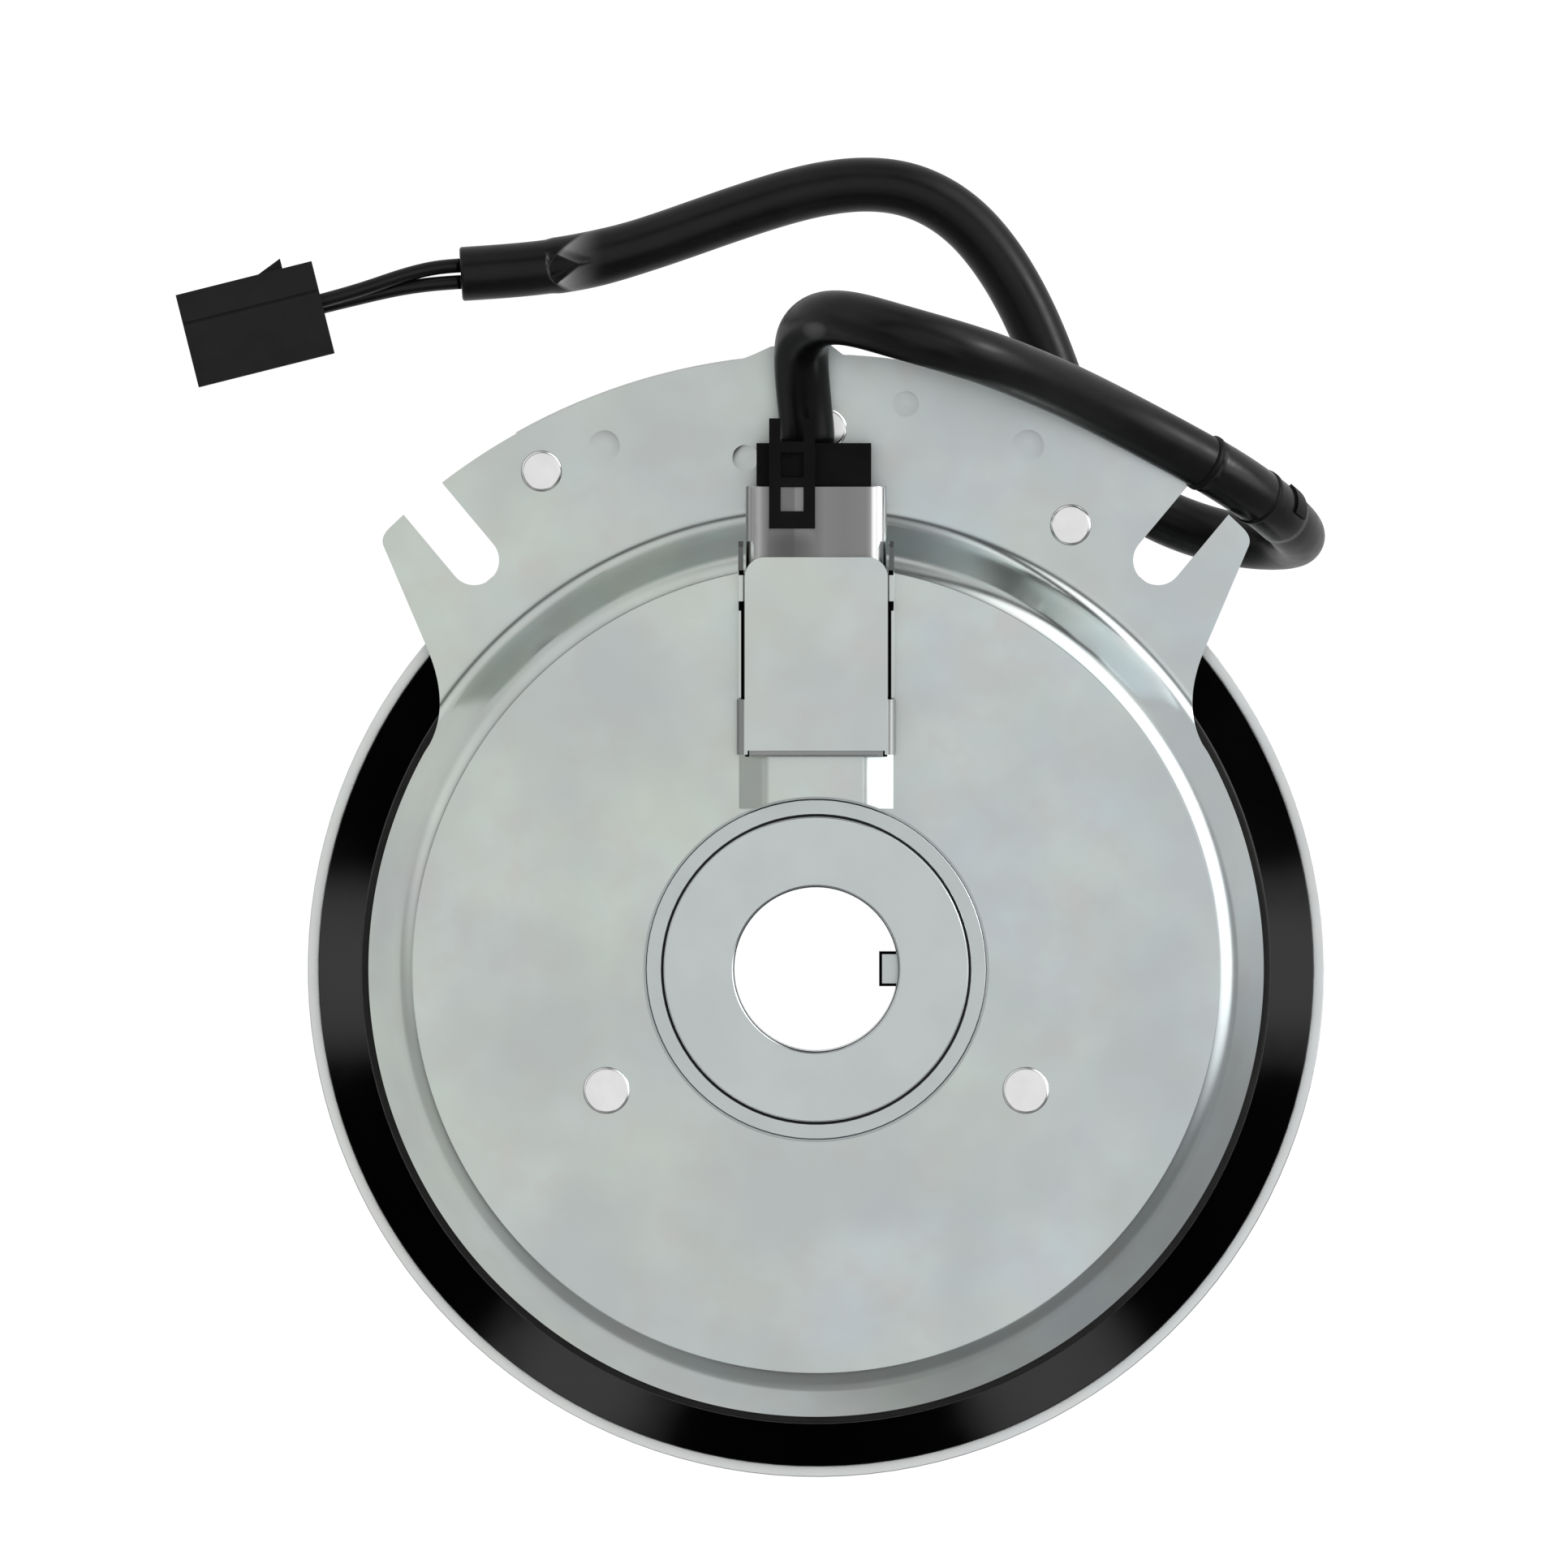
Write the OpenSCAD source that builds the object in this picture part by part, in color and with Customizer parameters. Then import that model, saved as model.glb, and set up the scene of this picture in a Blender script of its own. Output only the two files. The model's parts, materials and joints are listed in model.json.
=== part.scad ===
/* [Crank bore] */
// Bore that takes the engine's crankshaft
bore_d = 28.575; // [24:0.005:30]
// Plain stretch of the bore at the engine end
bore_plain_len = 27.5; // [16:0.5:30]
// Keyed stretch of the bore at the bolt end
key_len = 28; // [12:0.5:30]
// Width of the key formed in the bore
key_w = 6; // [4:0.1:8]
// How far the key stands into the bore
key_h = 3.2; // [2:0.1:5]
// Diameter of the hub's flange on the engine side
hub_flange_d = 53; // [48:0.5:53]
// Thickness of the hub's flange
hub_flange_t = 3.5; // [2.5:0.1:5]

/* [Bearings] */
// Bore of both bearings, and so the outside of the hub sleeve
bearing_bore_d = 35; // [33.5:0.5:36]
// Outside diameter of the field bearing
field_bearing_d = 55; // [54.5:0.5:56]
// Width of the field bearing
field_bearing_w = 10; // [9:0.5:11]
// Ball diameter of the field bearing
field_ball_d = 5.6; // [4.5:0.1:6]
// Number of balls in the field bearing
field_ball_n = 16; // [8:1:18]
// Outside diameter of the pulley bearing
pulley_bearing_d = 62; // [60:0.5:64]
// Width of the pulley bearing
pulley_bearing_w = 14; // [12:0.5:15]
// Ball diameter of the pulley bearing
pulley_ball_d = 8; // [6:0.1:8.4]
// Number of balls in the pulley bearing
pulley_ball_n = 11; // [6:1:14]
// Running clearance around the balls
ball_clear = 0.05; // [0.02:0.01:0.1]

/* [Pulley] */
// Outside diameter of the pulley
pulley_d = 177.8; // [170:0.1:184]
// Overall width of the pulley
pulley_w = 22; // [21:0.1:24]
// Thickness of the pulley's pressed sheet
pulley_t = 2.5; // [2:0.1:3]
// Included angle of the belt groove
groove_a = 34; // [30:1:38]
// Depth of the belt groove
groove_depth = 14.4; // [11:0.1:16]
// Width of the flat land at the pulley's rim
rim_land = 2.4; // [1.5:0.1:4]
// Number of rivets that hold the pulley on its hub
pulley_rivet_n = 6; // [3:1:8]

/* [Rotor and armature] */
// Outside diameter of the rotor
rotor_d = 158.8; // [157:0.1:160]
// Thickness of the rotor's pole face
rotor_t = 5.5; // [4.5:0.1:7]
// Height of the rotor's rim above its pole face
rotor_rim_h = 3.8; // [2:0.1:4.6]
// Outside diameter of the armature
armature_d = 174; // [170:0.1:174.2]
// Thickness of the armature
armature_t = 5; // [4.5:0.1:6]
// Thickness left at the armature's bevelled edge
armature_edge_t = 2.2; // [1.5:0.1:4]
// Air gap between armature and rotor when the clutch is off
air_gap = 0.6; // [0.4:0.05:0.8]
// Gap under the armature when it lies back on the brake
rest_gap = 0.3; // [0.2:0.05:0.5]
// Number of curved slots in the rotor's pole face
pole_slot_n = 6; // [3:1:8]
// Thickness of the leaf springs
spring_t = 0.8; // [0.5:0.05:1]
// Width of the leaf springs
spring_w = 11; // [8:0.5:12]

/* [Coil] */
// Height of the coil's steel shell
coil_h = 18.5; // [17.5:0.1:22]
// Wall of the coil shell's outer pole
pole_t = 4; // [3:0.1:5]
// Clearance between rotor and coil shell
pole_gap = 0.7; // [0.5:0.05:1]
// Thickness of the coil shell's back
coil_back_t = 6; // [4:0.1:7]
// Radial width of the winding space
coil_w = 20; // [16:0.1:22]
// Wall of the bobbin
bobbin_t = 1.2; // [0.8:0.1:2]

/* [Field shell] */
// Thickness of the field shell's sheet
shell_t = 3; // [2:0.1:3.4]
// Diameter at which the bowl is trimmed below the bracket
bowl_d = 156.2; // [155:0.1:157]
// Depth of the bowl from its flat to the bracket
bowl_depth = 13.5; // [12:0.1:14.5]
// Radius of the bowl's flat
flat_r = 69.7; // [68.8:0.1:70.4]
// Radius of the bend at the bowl's edge
edge_bend = 4.3; // [3.6:0.1:5]
// Radius of the bend at the bowl's root
root_bend = 4; // [3:0.1:5]
// Height of the rib pressed up between bearing and terminals
rib_h = 4; // [2:0.1:4.2]

/* [Bracket] */
// Radius of the bracket's outer edge
bracket_r = 107.1; // [105:0.1:112]
// Angle of each mounting slot from the middle of the bracket
slot_a = 39.9; // [39:0.1:41]
// Width of the mounting slots
slot_w = 8.7; // [6.5:0.1:9.5]
// Radius at which the mounting slots end
slot_end_r = 93; // [90:0.1:97]
// Diameter of the heads of the bracket's rivets
post_head_d = 7.2; // [6:0.1:8]
// Diameter of the heads of the coil shell's rivets
shell_rivet_d = 8.2; // [7:0.1:9]

/* [Brake] */
// Thickness of the brake plate
brake_t = 2.5; // [2:0.1:3]
// Thickness of the brake lining
lining_t = 3; // [2:0.1:4]
// Gap between the pulley and the brake plate
brake_gap = 0.8; // [0.5:0.1:2]
// Radius of the brake plate's outer edge
brake_r = 107.5; // [105:0.1:112]
// Half of the angle that the brake plate covers
brake_half_a = 29.3; // [26:0.1:31]
// Diameter of the posts that carry the brake plate
post_d = 4; // [3.2:0.1:4.2]

/* [Terminals] */
// Width of the terminal cover's flat top
cover_w = 24.9; // [22:0.1:25.2]
// Length of the terminal cover
cover_len = 33.7; // [32:0.1:35]
// Height of the terminal cover's top above the bowl
cover_h = 8.8; // [8:0.1:11]
// Sheet thickness of the terminal cover
cover_t = 1.5; // [1:0.1:1.6]
// Width of the connector
connector_w = 20; // [16:0.1:20.6]

/* [Lead] */
// Outside diameter of the lead's sleeve
sleeve_d = 9.5; // [7:0.1:9.6]
// Outside diameter of each wire
wire_d = 2.5; // [2:0.1:2.7]
// Length of the plug at the lead's end
plug_len = 24.5; // [22:0.1:28]
// Width of the plug
plug_w = 16.6; // [15:0.1:20]
// Height of the plug
plug_h = 11; // [10.5:0.1:14]

/* [Hidden] */

round_fn = 96;
small_fn = 32;
bend_n = 5;
eps = 0.01;
cut = 1;
seat = 0.3;
fit = 0.1;

galvanised = "#bcc2c3";
zinc = "#c9cdcd";
steel = "#a4a8aa";
bright_steel = "#d2d4d6";
black_steel = "#101010";
dark_steel = "#2c2d2f";
black_plastic = "#161616";
copper = "#a65a2a";
brass = "#b8923f";
friction = "#4a4038";

// Stack of levels above the plane that the pulley rests on
z_mid = pulley_w / 2;
z_brake = pulley_w + brake_gap;
z_lining = z_brake + brake_t;
z_armature = z_lining + lining_t + rest_gap;
z_rotor = z_armature + armature_t + air_gap;
z_rotor_back = z_rotor + rotor_t;
coil_face_gap = 0.8;
z_coil = z_rotor_back + coil_face_gap;
z_shell_low = z_coil + coil_h;
z_shell = z_shell_low + shell_t;
z_bracket = z_shell - bowl_depth;
bearing_sink = 2;
z_field_top = z_shell - bearing_sink;
z_field_low = z_field_top - field_bearing_w;
z_pulley_low = z_mid - pulley_bearing_w / 2;
z_pulley_top = z_mid + pulley_bearing_w / 2;
z_hub = z_field_top + hub_flange_t;
boss_drop = 4;
z_boss = z_rotor - boss_drop;

// Radii that follow from the driving sizes
bore_relief = 0.5;
bearing_lip = 0.5;
neck_t = 2.1;
neck_gap = 0.5;
bore_r = bore_d / 2;
relief_r = bore_r + bore_relief;
sleeve_r = bearing_bore_d / 2;
field_r = field_bearing_d / 2;
lip_r = field_r - bearing_lip;
tube_r = field_r + neck_t;
pulley_r = pulley_d / 2;
rotor_r = rotor_d / 2;
armature_r = armature_d / 2;
bowl_r = bowl_d / 2;
rim_wall = 8.2;
pole_overhang = 0.8;
pole_bay = 10;

// The coil shell fits inside the rotor's rim and under the bowl's bent edge
pole_r = min(rotor_r - rim_wall - pole_gap, flat_r + pole_overhang);
coil_out_r = pole_r - pole_t;
coil_in_r = coil_out_r - coil_w;
inner_pole_r = field_r + pole_bay;
rivet_inset = 4.3;
rivet_ring_r = coil_in_r - rivet_inset;
armature_in_r = 46;
spring_ring_r = 56;
spring_sweep = 52;
hub_tube_t = 5;
hub_flange_w = 14;
hub_rivet_out = 8;
hub_tube_r = pulley_bearing_d / 2 + hub_tube_t;
hub_flange_r = hub_tube_r + hub_flange_w;
pulley_rivet_r = hub_tube_r + hub_rivet_out;

// Angles of the three coil shell rivets
shell_rivet_a = [90, 210, 330];

// The three brake posts stand between the armature's edge and the bracket's edge
post_clear = 0.3;
post_a = [118.9, 88.9, 60.2];
post_share = [0.697, 0.352, 0];
post_from = armature_r + post_d / 2 + post_clear;
post_to = bracket_r - post_head_d / 2;
brake_post_at = [for (i = [0:2])
    (post_from + (post_to - post_from) * post_share[i]) * [cos(post_a[i]), sin(post_a[i])]];

// Pressed marks in the bracket, each with its place and radius
dimple_at = [[-37, 91.1, 2.8], [-12.9, 89.2, 2.6], [15.6, 98.5, 2.4], [36.9, 91.3, 2.8]];
dimple_depth = 0.5;

// Places along the terminals, which stand on the bowl over the top edge
cover_y = 38.1;
cover_end = cover_y + cover_len;
tab_out = 1.35;
tab_y = [37.4, 47];
wall_t = 0.9;
cover_play = 0.25;
wall_in = cover_w / 2 + cover_play;
wall_y = [47.3, flat_r + 4.9];
floor_end = flat_r - 1.7;
block_end = flat_r - 5.7;
shroud_y = [flat_r - 5.4, flat_r + 14.5];
shroud_r = 12.25;
shroud_t = 1.2;
shroud_drop = 3.5;
shroud_bend = 2.5;
z_cover = z_shell + cover_h;
z_shroud = z_cover - shroud_drop;
pin_at = [-5, 5];
pin_y = 56;
pin_w = 3;
pin_t = 0.8;
pin_rise = 2.2;
z_pin = z_shell + pin_rise;
connector_x = -0.4;
connector_y = [flat_r + 6.8, flat_r + 14.5, flat_r + 22];
connector_drop = 6;
connector_z = [z_shell - connector_drop, z_shroud - shroud_t - seat];
latch_x = -4.2;
latch_w = 8;
latch_bar = 2;
latch_t = 2.2;
latch_y = [for (y = [7.1, 10.1, 14.3, 22.3, 26.3]) flat_r + y];
latch_z = [z_shroud + seat, z_shroud + seat + latch_t];
recess_y = [flat_r + 16, flat_r + 20.3];
recess_depth = 1.8;
collar_low = 1.5;
collar_rise = 0.5;
foot_inset = 0.8;
foot_drop = 0.6;

// Route of the lead's sleeve, from the connector to the sleeve's end
sleeve_route = [
    [-1.5, 91.7, 59.6], [-1.5, 94, 59.6], [-2.5, 102.5, 61.9], [-2.7, 108.7, 67.1],
    [-1.9, 111.4, 71.1], [0.8, 113.6, 78.2], [5.8, 113.5, 84.6], [12.8, 111.4, 88.9],
    [19.2, 109.6, 89.8], [25.1, 107.9, 88.6], [30.4, 106.2, 85.4], [35.4, 104.3, 80.6],
    [40.6, 102.2, 74.6], [46, 99.8, 68.2], [51.6, 97, 61.9], [57.8, 93.8, 56.9],
    [64.4, 90.3, 53.4], [71, 86.6, 50], [76.8, 82.8, 45], [81.2, 79.3, 38.6],
    [83.8, 76.8, 31.2], [84.6, 75.3, 23.8], [83, 74.6, 16.8], [78.6, 74.4, 10.6],
    [72, 75.2, 6.4], [64.6, 77.4, 4.8], [58, 80.4, 4.8], [51.9, 84.8, 4.8],
    [47, 90.6, 4.8], [43.8, 97.6, 4.8], [41.2, 105.4, 4.8], [37.6, 114.4, 4.8],
    [32.8, 123.2, 4.8], [26.6, 131, 4.8], [18.8, 136, 4.8], [10, 137.8, 4.8],
    [-2, 136.4, 4.8], [-20, 130.2, 4.8], [-40, 123, 4.8], [-62.2, 121.6, 4.8]
];
wire_a_route = [
    [-62.4, 123.1, 4.8], [-67, 122.8, 4.8], [-73, 121.2, 5.6], [-79, 119, 6.7],
    [-86.5, 116.9, 7.2], [-94, 115, 7.2]
];
wire_b_route = [
    [-62.3, 120.2, 4.8], [-67, 119.9, 4.8], [-73, 119.1, 4.3], [-79, 117.7, 3.9],
    [-86.5, 115.9, 3.8], [-94, 114, 3.8]
];
wire_hole = 0.1;
plug_at = [-98.2, 112.8];
plug_turn = 14.1;
plug_cavity = [4, 3.4, 9];
plug_way = 4;
plug_latch = [2.6, 7, 1.8];
plug_latch_margin = 2.5;
plug_blade = [3, 0.8];
plug_blade_in = 1.5;

function polar(r, a) = r * [cos(a), sin(a)];
function arc(c, r, a0, a1, n) = [for (i = [0:n]) c + polar(r, a0 + (a1 - a0) * i / n)];
function unit(v) = v / norm(v);
function left(v) = [-v[1], v[0]];
function backward(p) = [for (i = [len(p) - 1:-1:0]) p[i]];

// One offset point of a path, mitred between the two sides that meet there
function beside(p, i, t) =
    let (
        a = unit(p[max(i, 1)] - p[max(i, 1) - 1]),
        b = unit(p[min(i, len(p) - 2) + 1] - p[min(i, len(p) - 2)]),
        n = left(a) + left(b)
    )
    p[i] + t * n / (1 + left(a) * left(b));

// Closed section of a sheet of thickness t along a path
function sheet(p, t) = concat(p, backward([for (i = [0:len(p) - 1]) beside(p, i, t)]));

// Points of a soft corner at b between a and c, starting d away from the corner
function corner(a, b, c, d, n) =
    let (p = b + d * unit(a - b), q = b + d * unit(c - b))
    [for (i = [0:n]) let (t = i / n) p * (1 - t) ^ 2 + 2 * b * t * (1 - t) + q * t ^ 2];

// A path whose inner corners are all softened
function soften(p, d, n) = concat(
    [p[0]],
    [for (i = [1:len(p) - 2]) each corner(p[i - 1], p[i], p[i + 1], d, n)],
    [p[len(p) - 1]]
);

// Sweep of a round section along a route
function heading(p, i) = unit(p[min(i + 1, len(p) - 1)] - p[max(i - 1, 0)]);
function carried(p, i, n) =
    i == len(p) ? [] :
    let (t = heading(p, i), m = unit(n - t * (n * t))) concat([m], carried(p, i + 1, m));
function hoop(c, t, n, r, k) =
    [for (j = [0:k - 1]) c + r * (n * cos(360 * j / k) + cross(t, n) * sin(360 * j / k))];
function hoop_faces(i, k) = [for (j = [0:k - 1], upper = [0, 1])
    let (a = i * k + j, b = i * k + (j + 1) % k)
    upper == 1 ? [a, a + k, b + k] : [a, b + k, b]];

module swept(route, d, k) {
    sides = carried(route, 0, [0, 0, 1]);
    last = len(route) - 1;
    polyhedron(
        [for (i = [0:last]) each hoop(route[i], heading(route, i), sides[i], d / 2, k)],
        concat(
            [[for (j = [0:k - 1]) j]],
            [for (i = [0:last - 1]) each hoop_faces(i, k)],
            [[for (j = [k - 1:-1:0]) last * k + j]]
        )
    );
}

module turned(points) rotate_extrude($fn = round_fn) polygon(points);

module around(n, r, start = 0)
    for (i = [0:n - 1]) rotate(start + 360 * i / n) translate([r, 0, 0]) children();

module ring(r_out, r_in, z, h)
    translate([0, 0, z]) linear_extrude(h) difference() {
        circle(r_out, $fn = round_fn);
        circle(r_in, $fn = round_fn);
    }

// Part of a ring between two angles that stay under half a turn apart
module sector(r_out, r_in, a0, a1)
    intersection() {
        difference() {
            circle(r_out, $fn = round_fn);
            circle(r_in, $fn = round_fn);
        }
        polygon([
            [0, 0], polar(2 * r_out, a0), polar(2 * r_out, (a0 + a1) / 2), polar(2 * r_out, a1)
        ]);
    }

module curved_slot(r, w, a) sector(r + w / 2, r - w / 2, -a / 2, a / 2);

// Head of a rivet, flat on top with a sloping edge
head_edge = 0.4;

module rivet_head(d, h)
    rotate_extrude($fn = small_fn) polygon([
        [0, 0], [d / 2, 0], [d / 2, h * head_edge], [d / 2 - h * (1 - head_edge), h], [0, h]
    ]);

// Field shell: a drawn bowl whose flange stays on one side as the bracket
wall_span = 11.8;
ear_out = 3.4;
wall_reach = flat_r + wall_span;
bend_sum = edge_bend + root_bend;
wall_drop = bowl_depth - bend_sum;
wall_a = acos(bend_sum / norm([wall_span, wall_drop])) - atan2(wall_drop, wall_span);
ear_r = bracket_r + ear_out;
ear_half = 7.6;
ear_top_half = 6.2;
ear_x = -2.8;
shell_path = concat(
    [[tube_r + neck_gap, z_shell]],
    arc([flat_r, z_shell - edge_bend], edge_bend, 90, wall_a, bend_n + 2),
    arc([wall_reach, z_bracket + root_bend], root_bend, 180 + wall_a, 270, bend_n + 2),
    [[bracket_r + cut, z_bracket]]
);

// Outline of the bracket's outer finger, beyond the mounting slot
prong_root = polar(bowl_r + 9.8, 140.5);
prong_tip = polar(bracket_r, 135.3);
prong_foot = polar(bowl_r - fit, 149.8);
prong_bend = [-63.7, 46.2];
prong_face_a = [134, 133.5];
prong_round = 1.6;
bracket_spread_a = 112;

module bracket_half()
    intersection() {
        circle(bracket_r, $fn = round_fn);
        polygon(concat(
            [[0, 0], 0.5 * prong_foot],
            [for (i = [0:2 * bend_n]) let (t = i / (2 * bend_n))
                prong_foot * (1 - t) ^ 2 + 2 * prong_bend * t * (1 - t) + prong_root * t ^ 2],
            corner(prong_root, prong_tip, polar(bracket_r, prong_face_a[0]), prong_round, bend_n),
            [polar(bracket_r + 2 * ear_out, prong_face_a[1]), polar(2 * bracket_r, bracket_spread_a),
             [0, 2 * bracket_r]]
        ));
    }

module bracket_slot()
    rotate(90 + slot_a) {
        translate([slot_end_r, 0]) circle(d = slot_w, $fn = small_fn);
        translate([slot_end_r, -slot_w / 2]) square([bracket_r, slot_w]);
    }

module shell_outline()
    difference() {
        union() {
            circle(bowl_r, $fn = round_fn);
            for (side = [0, 1]) mirror([side, 0]) bracket_half();
        }
        for (side = [0, 1]) mirror([side, 0]) bracket_slot();
    }

module ear()
    translate([ear_x, 0, z_bracket - shell_t]) linear_extrude(shell_t) polygon([
        [-ear_half - ear_out / 2, bracket_r - ear_out], [-ear_top_half, ear_r],
        [ear_top_half, ear_r], [ear_half + ear_out / 2, bracket_r - ear_out]
    ]);

rib_half = [13.45, 8.75];
rib_end = 38;
rib_play = 0.3;

module rib(h, inset, end)
    translate([0, end, z_shell]) rotate([90, 0, 0]) linear_extrude(end)
        polygon([
            [-rib_half[0] + inset, -shell_t - cut], [-rib_half[0] + inset, -inset],
            [-rib_half[1] + inset / 2, h], [rib_half[1] - inset / 2, h],
            [rib_half[0] - inset, -inset], [rib_half[0] - inset, -shell_t - cut]
        ]);

module field_shell()
    color(galvanised) difference() {
        union() {
            intersection() {
                union() {
                    turned(sheet(shell_path, -shell_t));
                    difference() {
                        rib(rib_h, 0, rib_end);
                        translate([0, 0, z_shell_low - 2 * cut]) cylinder(2 * cut, r = bowl_r);
                    }
                    for (d = dimple_at) translate([d[0], d[1], z_bracket - shell_t - dimple_depth])
                        cylinder(shell_t, r = d[2], $fn = small_fn);
                }
                translate([0, 0, z_bracket - shell_t - cut])
                    linear_extrude(bowl_depth + shell_t + rib_h + 2 * cut) shell_outline();
            }
            ear();
        }
        translate([0, 0, z_bracket])
            cylinder(bowl_depth + rib_h + cut, r = tube_r + neck_gap, $fn = round_fn);
        rib(rib_h - shell_t, shell_t / 2 + rib_play, rib_end - shell_t);
        for (a = shell_rivet_a) rotate(a) translate([rivet_ring_r, 0, z_shell_low - cut])
            cylinder(shell_t + 2 * cut, r = shell_rivet_shank, $fn = small_fn);
        for (p = brake_post_at) translate([p[0], p[1], z_bracket - shell_t - cut])
            cylinder(shell_t + 2 * cut, r = post_neck, $fn = small_fn);
        for (d = dimple_at) translate([d[0], d[1], z_bracket - dimple_depth])
            cylinder(shell_t, r = d[2], $fn = small_fn);
        for (x = pin_at) translate([x, pin_y, z_shell_low - cut])
            cylinder(shell_t + 2 * cut, r = pin_hole, $fn = small_fn);
    }

// Coil shell: a turned steel ring with two poles, whose neck holds the field bearing
shoulder_t = 1.5;
shoulder_in = 1.7;
neck_foot = 4.5;
shoulder_r = field_r - shoulder_in;
neck_rise = 0.6;
pole_chamfer = 2;
shell_rivet_shank = 2.5;
shell_rivet_h = 0.8;
shell_rivet_len = 15;
pin_hole = 2.4;
z_coil_roof = z_shell_low - coil_back_t;

module coil_shell()
    color(steel) difference() {
        turned([
            [shoulder_r, z_field_low - shoulder_t], [shoulder_r, z_field_low], [field_r, z_field_low],
            [field_r, z_field_top], [lip_r, z_field_top], [lip_r, z_shell + neck_rise],
            [tube_r, z_shell + neck_rise], [tube_r, z_shell_low], [pole_r - pole_chamfer, z_shell_low],
            [pole_r, z_shell_low - pole_chamfer], [pole_r, z_coil], [coil_out_r, z_coil],
            [coil_out_r, z_coil_roof], [coil_in_r, z_coil_roof], [coil_in_r, z_coil],
            [inner_pole_r, z_coil], [inner_pole_r, z_coil_roof], [field_r + neck_foot, z_coil_roof],
            [field_r + neck_foot, z_field_low - shoulder_t]
        ]);
        for (a = shell_rivet_a) rotate(a) translate([rivet_ring_r, 0, z_shell - shell_rivet_len])
            cylinder(shell_rivet_len, r = shell_rivet_shank, $fn = small_fn);
        for (x = pin_at) translate([x, pin_y, z_coil_roof - cut])
            cylinder(coil_back_t + 2 * cut, r = pin_hole, $fn = small_fn);
    }

module shell_rivets()
    color(bright_steel) for (a = shell_rivet_a) rotate(a) translate([rivet_ring_r, 0, 0]) {
        translate([0, 0, z_shell]) rivet_head(shell_rivet_d, shell_rivet_h);
        translate([0, 0, z_shell - shell_rivet_len])
            cylinder(shell_rivet_len + eps, r = shell_rivet_shank, $fn = small_fn);
    }

// Winding on its bobbin, sealed in below by potting
potting_h = 1.8;
bobbin_play = 0.2;
z_bobbin = z_coil + potting_h + bobbin_play;
z_bobbin_top = z_coil_roof - bobbin_play;
bobbin_r = [coil_in_r + bobbin_play, coil_out_r - bobbin_play];

module coil_bobbin()
    color(black_plastic) difference() {
        turned([
            [bobbin_r[0], z_bobbin], [bobbin_r[1], z_bobbin], [bobbin_r[1], z_bobbin + bobbin_t],
            [bobbin_r[0] + bobbin_t, z_bobbin + bobbin_t],
            [bobbin_r[0] + bobbin_t, z_bobbin_top - bobbin_t],
            [bobbin_r[1], z_bobbin_top - bobbin_t], [bobbin_r[1], z_bobbin_top],
            [bobbin_r[0], z_bobbin_top]
        ]);
        for (x = pin_at)
            translate([x - pin_w / 2 - fit, pin_y - pin_t / 2 - fit, z_bobbin_top - bobbin_t - cut])
                cube([pin_w + 2 * fit, pin_t + 2 * fit, bobbin_t + 2 * cut]);
    }

winding_gap = 0.1;
winding_inset = 1.2;

module coil_winding()
    color(copper) ring(
        bobbin_r[1] - winding_inset, bobbin_r[0] + bobbin_t + winding_gap,
        z_bobbin + bobbin_t + winding_gap, z_bobbin_top - z_bobbin - 2 * bobbin_t - 2 * winding_gap
    );

module coil_potting()
    color(black_plastic) ring(coil_out_r - fit, coil_in_r + fit, z_coil + fit, potting_h);

// Steel channel that stands on the bowl and carries the terminals
floor_t = 1;
wall_h = 6.5;
wall_nib = 1;
wall_lift = 3;
wall_top = z_shell + wall_h;

module terminal_base()
    color(galvanised) {
        difference() {
            translate([-wall_in - wall_t / 2, wall_y[0], z_shell])
                cube([2 * wall_in + wall_t, floor_end - wall_y[0], floor_t]);
            for (x = pin_at) translate([x, pin_y, z_shell - cut])
                cylinder(floor_t + 2 * cut, r = pin_hole, $fn = small_fn);
        }
        for (side = [0, 1]) mirror([side, 0, 0])
            translate([wall_in + wall_t, 0, 0]) rotate([0, -90, 0]) linear_extrude(wall_t)
                polygon([
                    [z_shell, wall_y[0]], [z_shell, floor_end], [z_shell + wall_lift, wall_y[1]],
                    [wall_top - wall_nib, wall_y[1]], [wall_top, wall_y[1] - wall_nib],
                    [wall_top, wall_y[0]]
                ]);
    }

module pin_path(grow, tail)
    for (x = pin_at) translate([x, pin_y, 0]) {
        translate([-pin_w / 2 - grow, -pin_t / 2 - grow, z_bobbin_top - bobbin_t])
            cube([pin_w + 2 * grow, pin_t + 2 * grow, z_pin - z_bobbin_top + bobbin_t + grow]);
        translate([-pin_w / 2 - grow, -pin_t / 2 - grow, z_pin - pin_t - grow])
            cube([pin_w + 2 * grow, tail - pin_y + grow, pin_t + 2 * grow]);
    }

block_lift = 1.2;
block_half = [cover_w / 2 - cover_play, wall_in - fit];

module terminal_block()
    color(black_plastic) difference() {
        union() {
            translate([-block_half[0], cover_y + cut, z_shell + block_lift])
                cube([2 * block_half[0], tab_y[1] - cover_y, cover_h - cover_t - block_lift]);
            translate([-block_half[1], wall_y[0] + fit, z_shell + floor_t])
                cube([2 * block_half[1], block_end - wall_y[0] - fit, cover_h - cover_t - floor_t]);
        }
        pin_path(fit, block_end + cut);
    }

module terminal_pins()
    color(brass) pin_path(0, connector_y[1] - cut);

// Folded cover: a flat top, a turned-down front lip and two clips at the sides
cover_corner = 3.5;
cover_bend = 1.5;
lip_inset = 0.8;
lip_y = [-1.1, 0.4, 0.6];
lip_lift = 0.4;
clip_drop = 1.6;
clip_root = 0.5;
clip_bend_in = 0.15;

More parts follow.
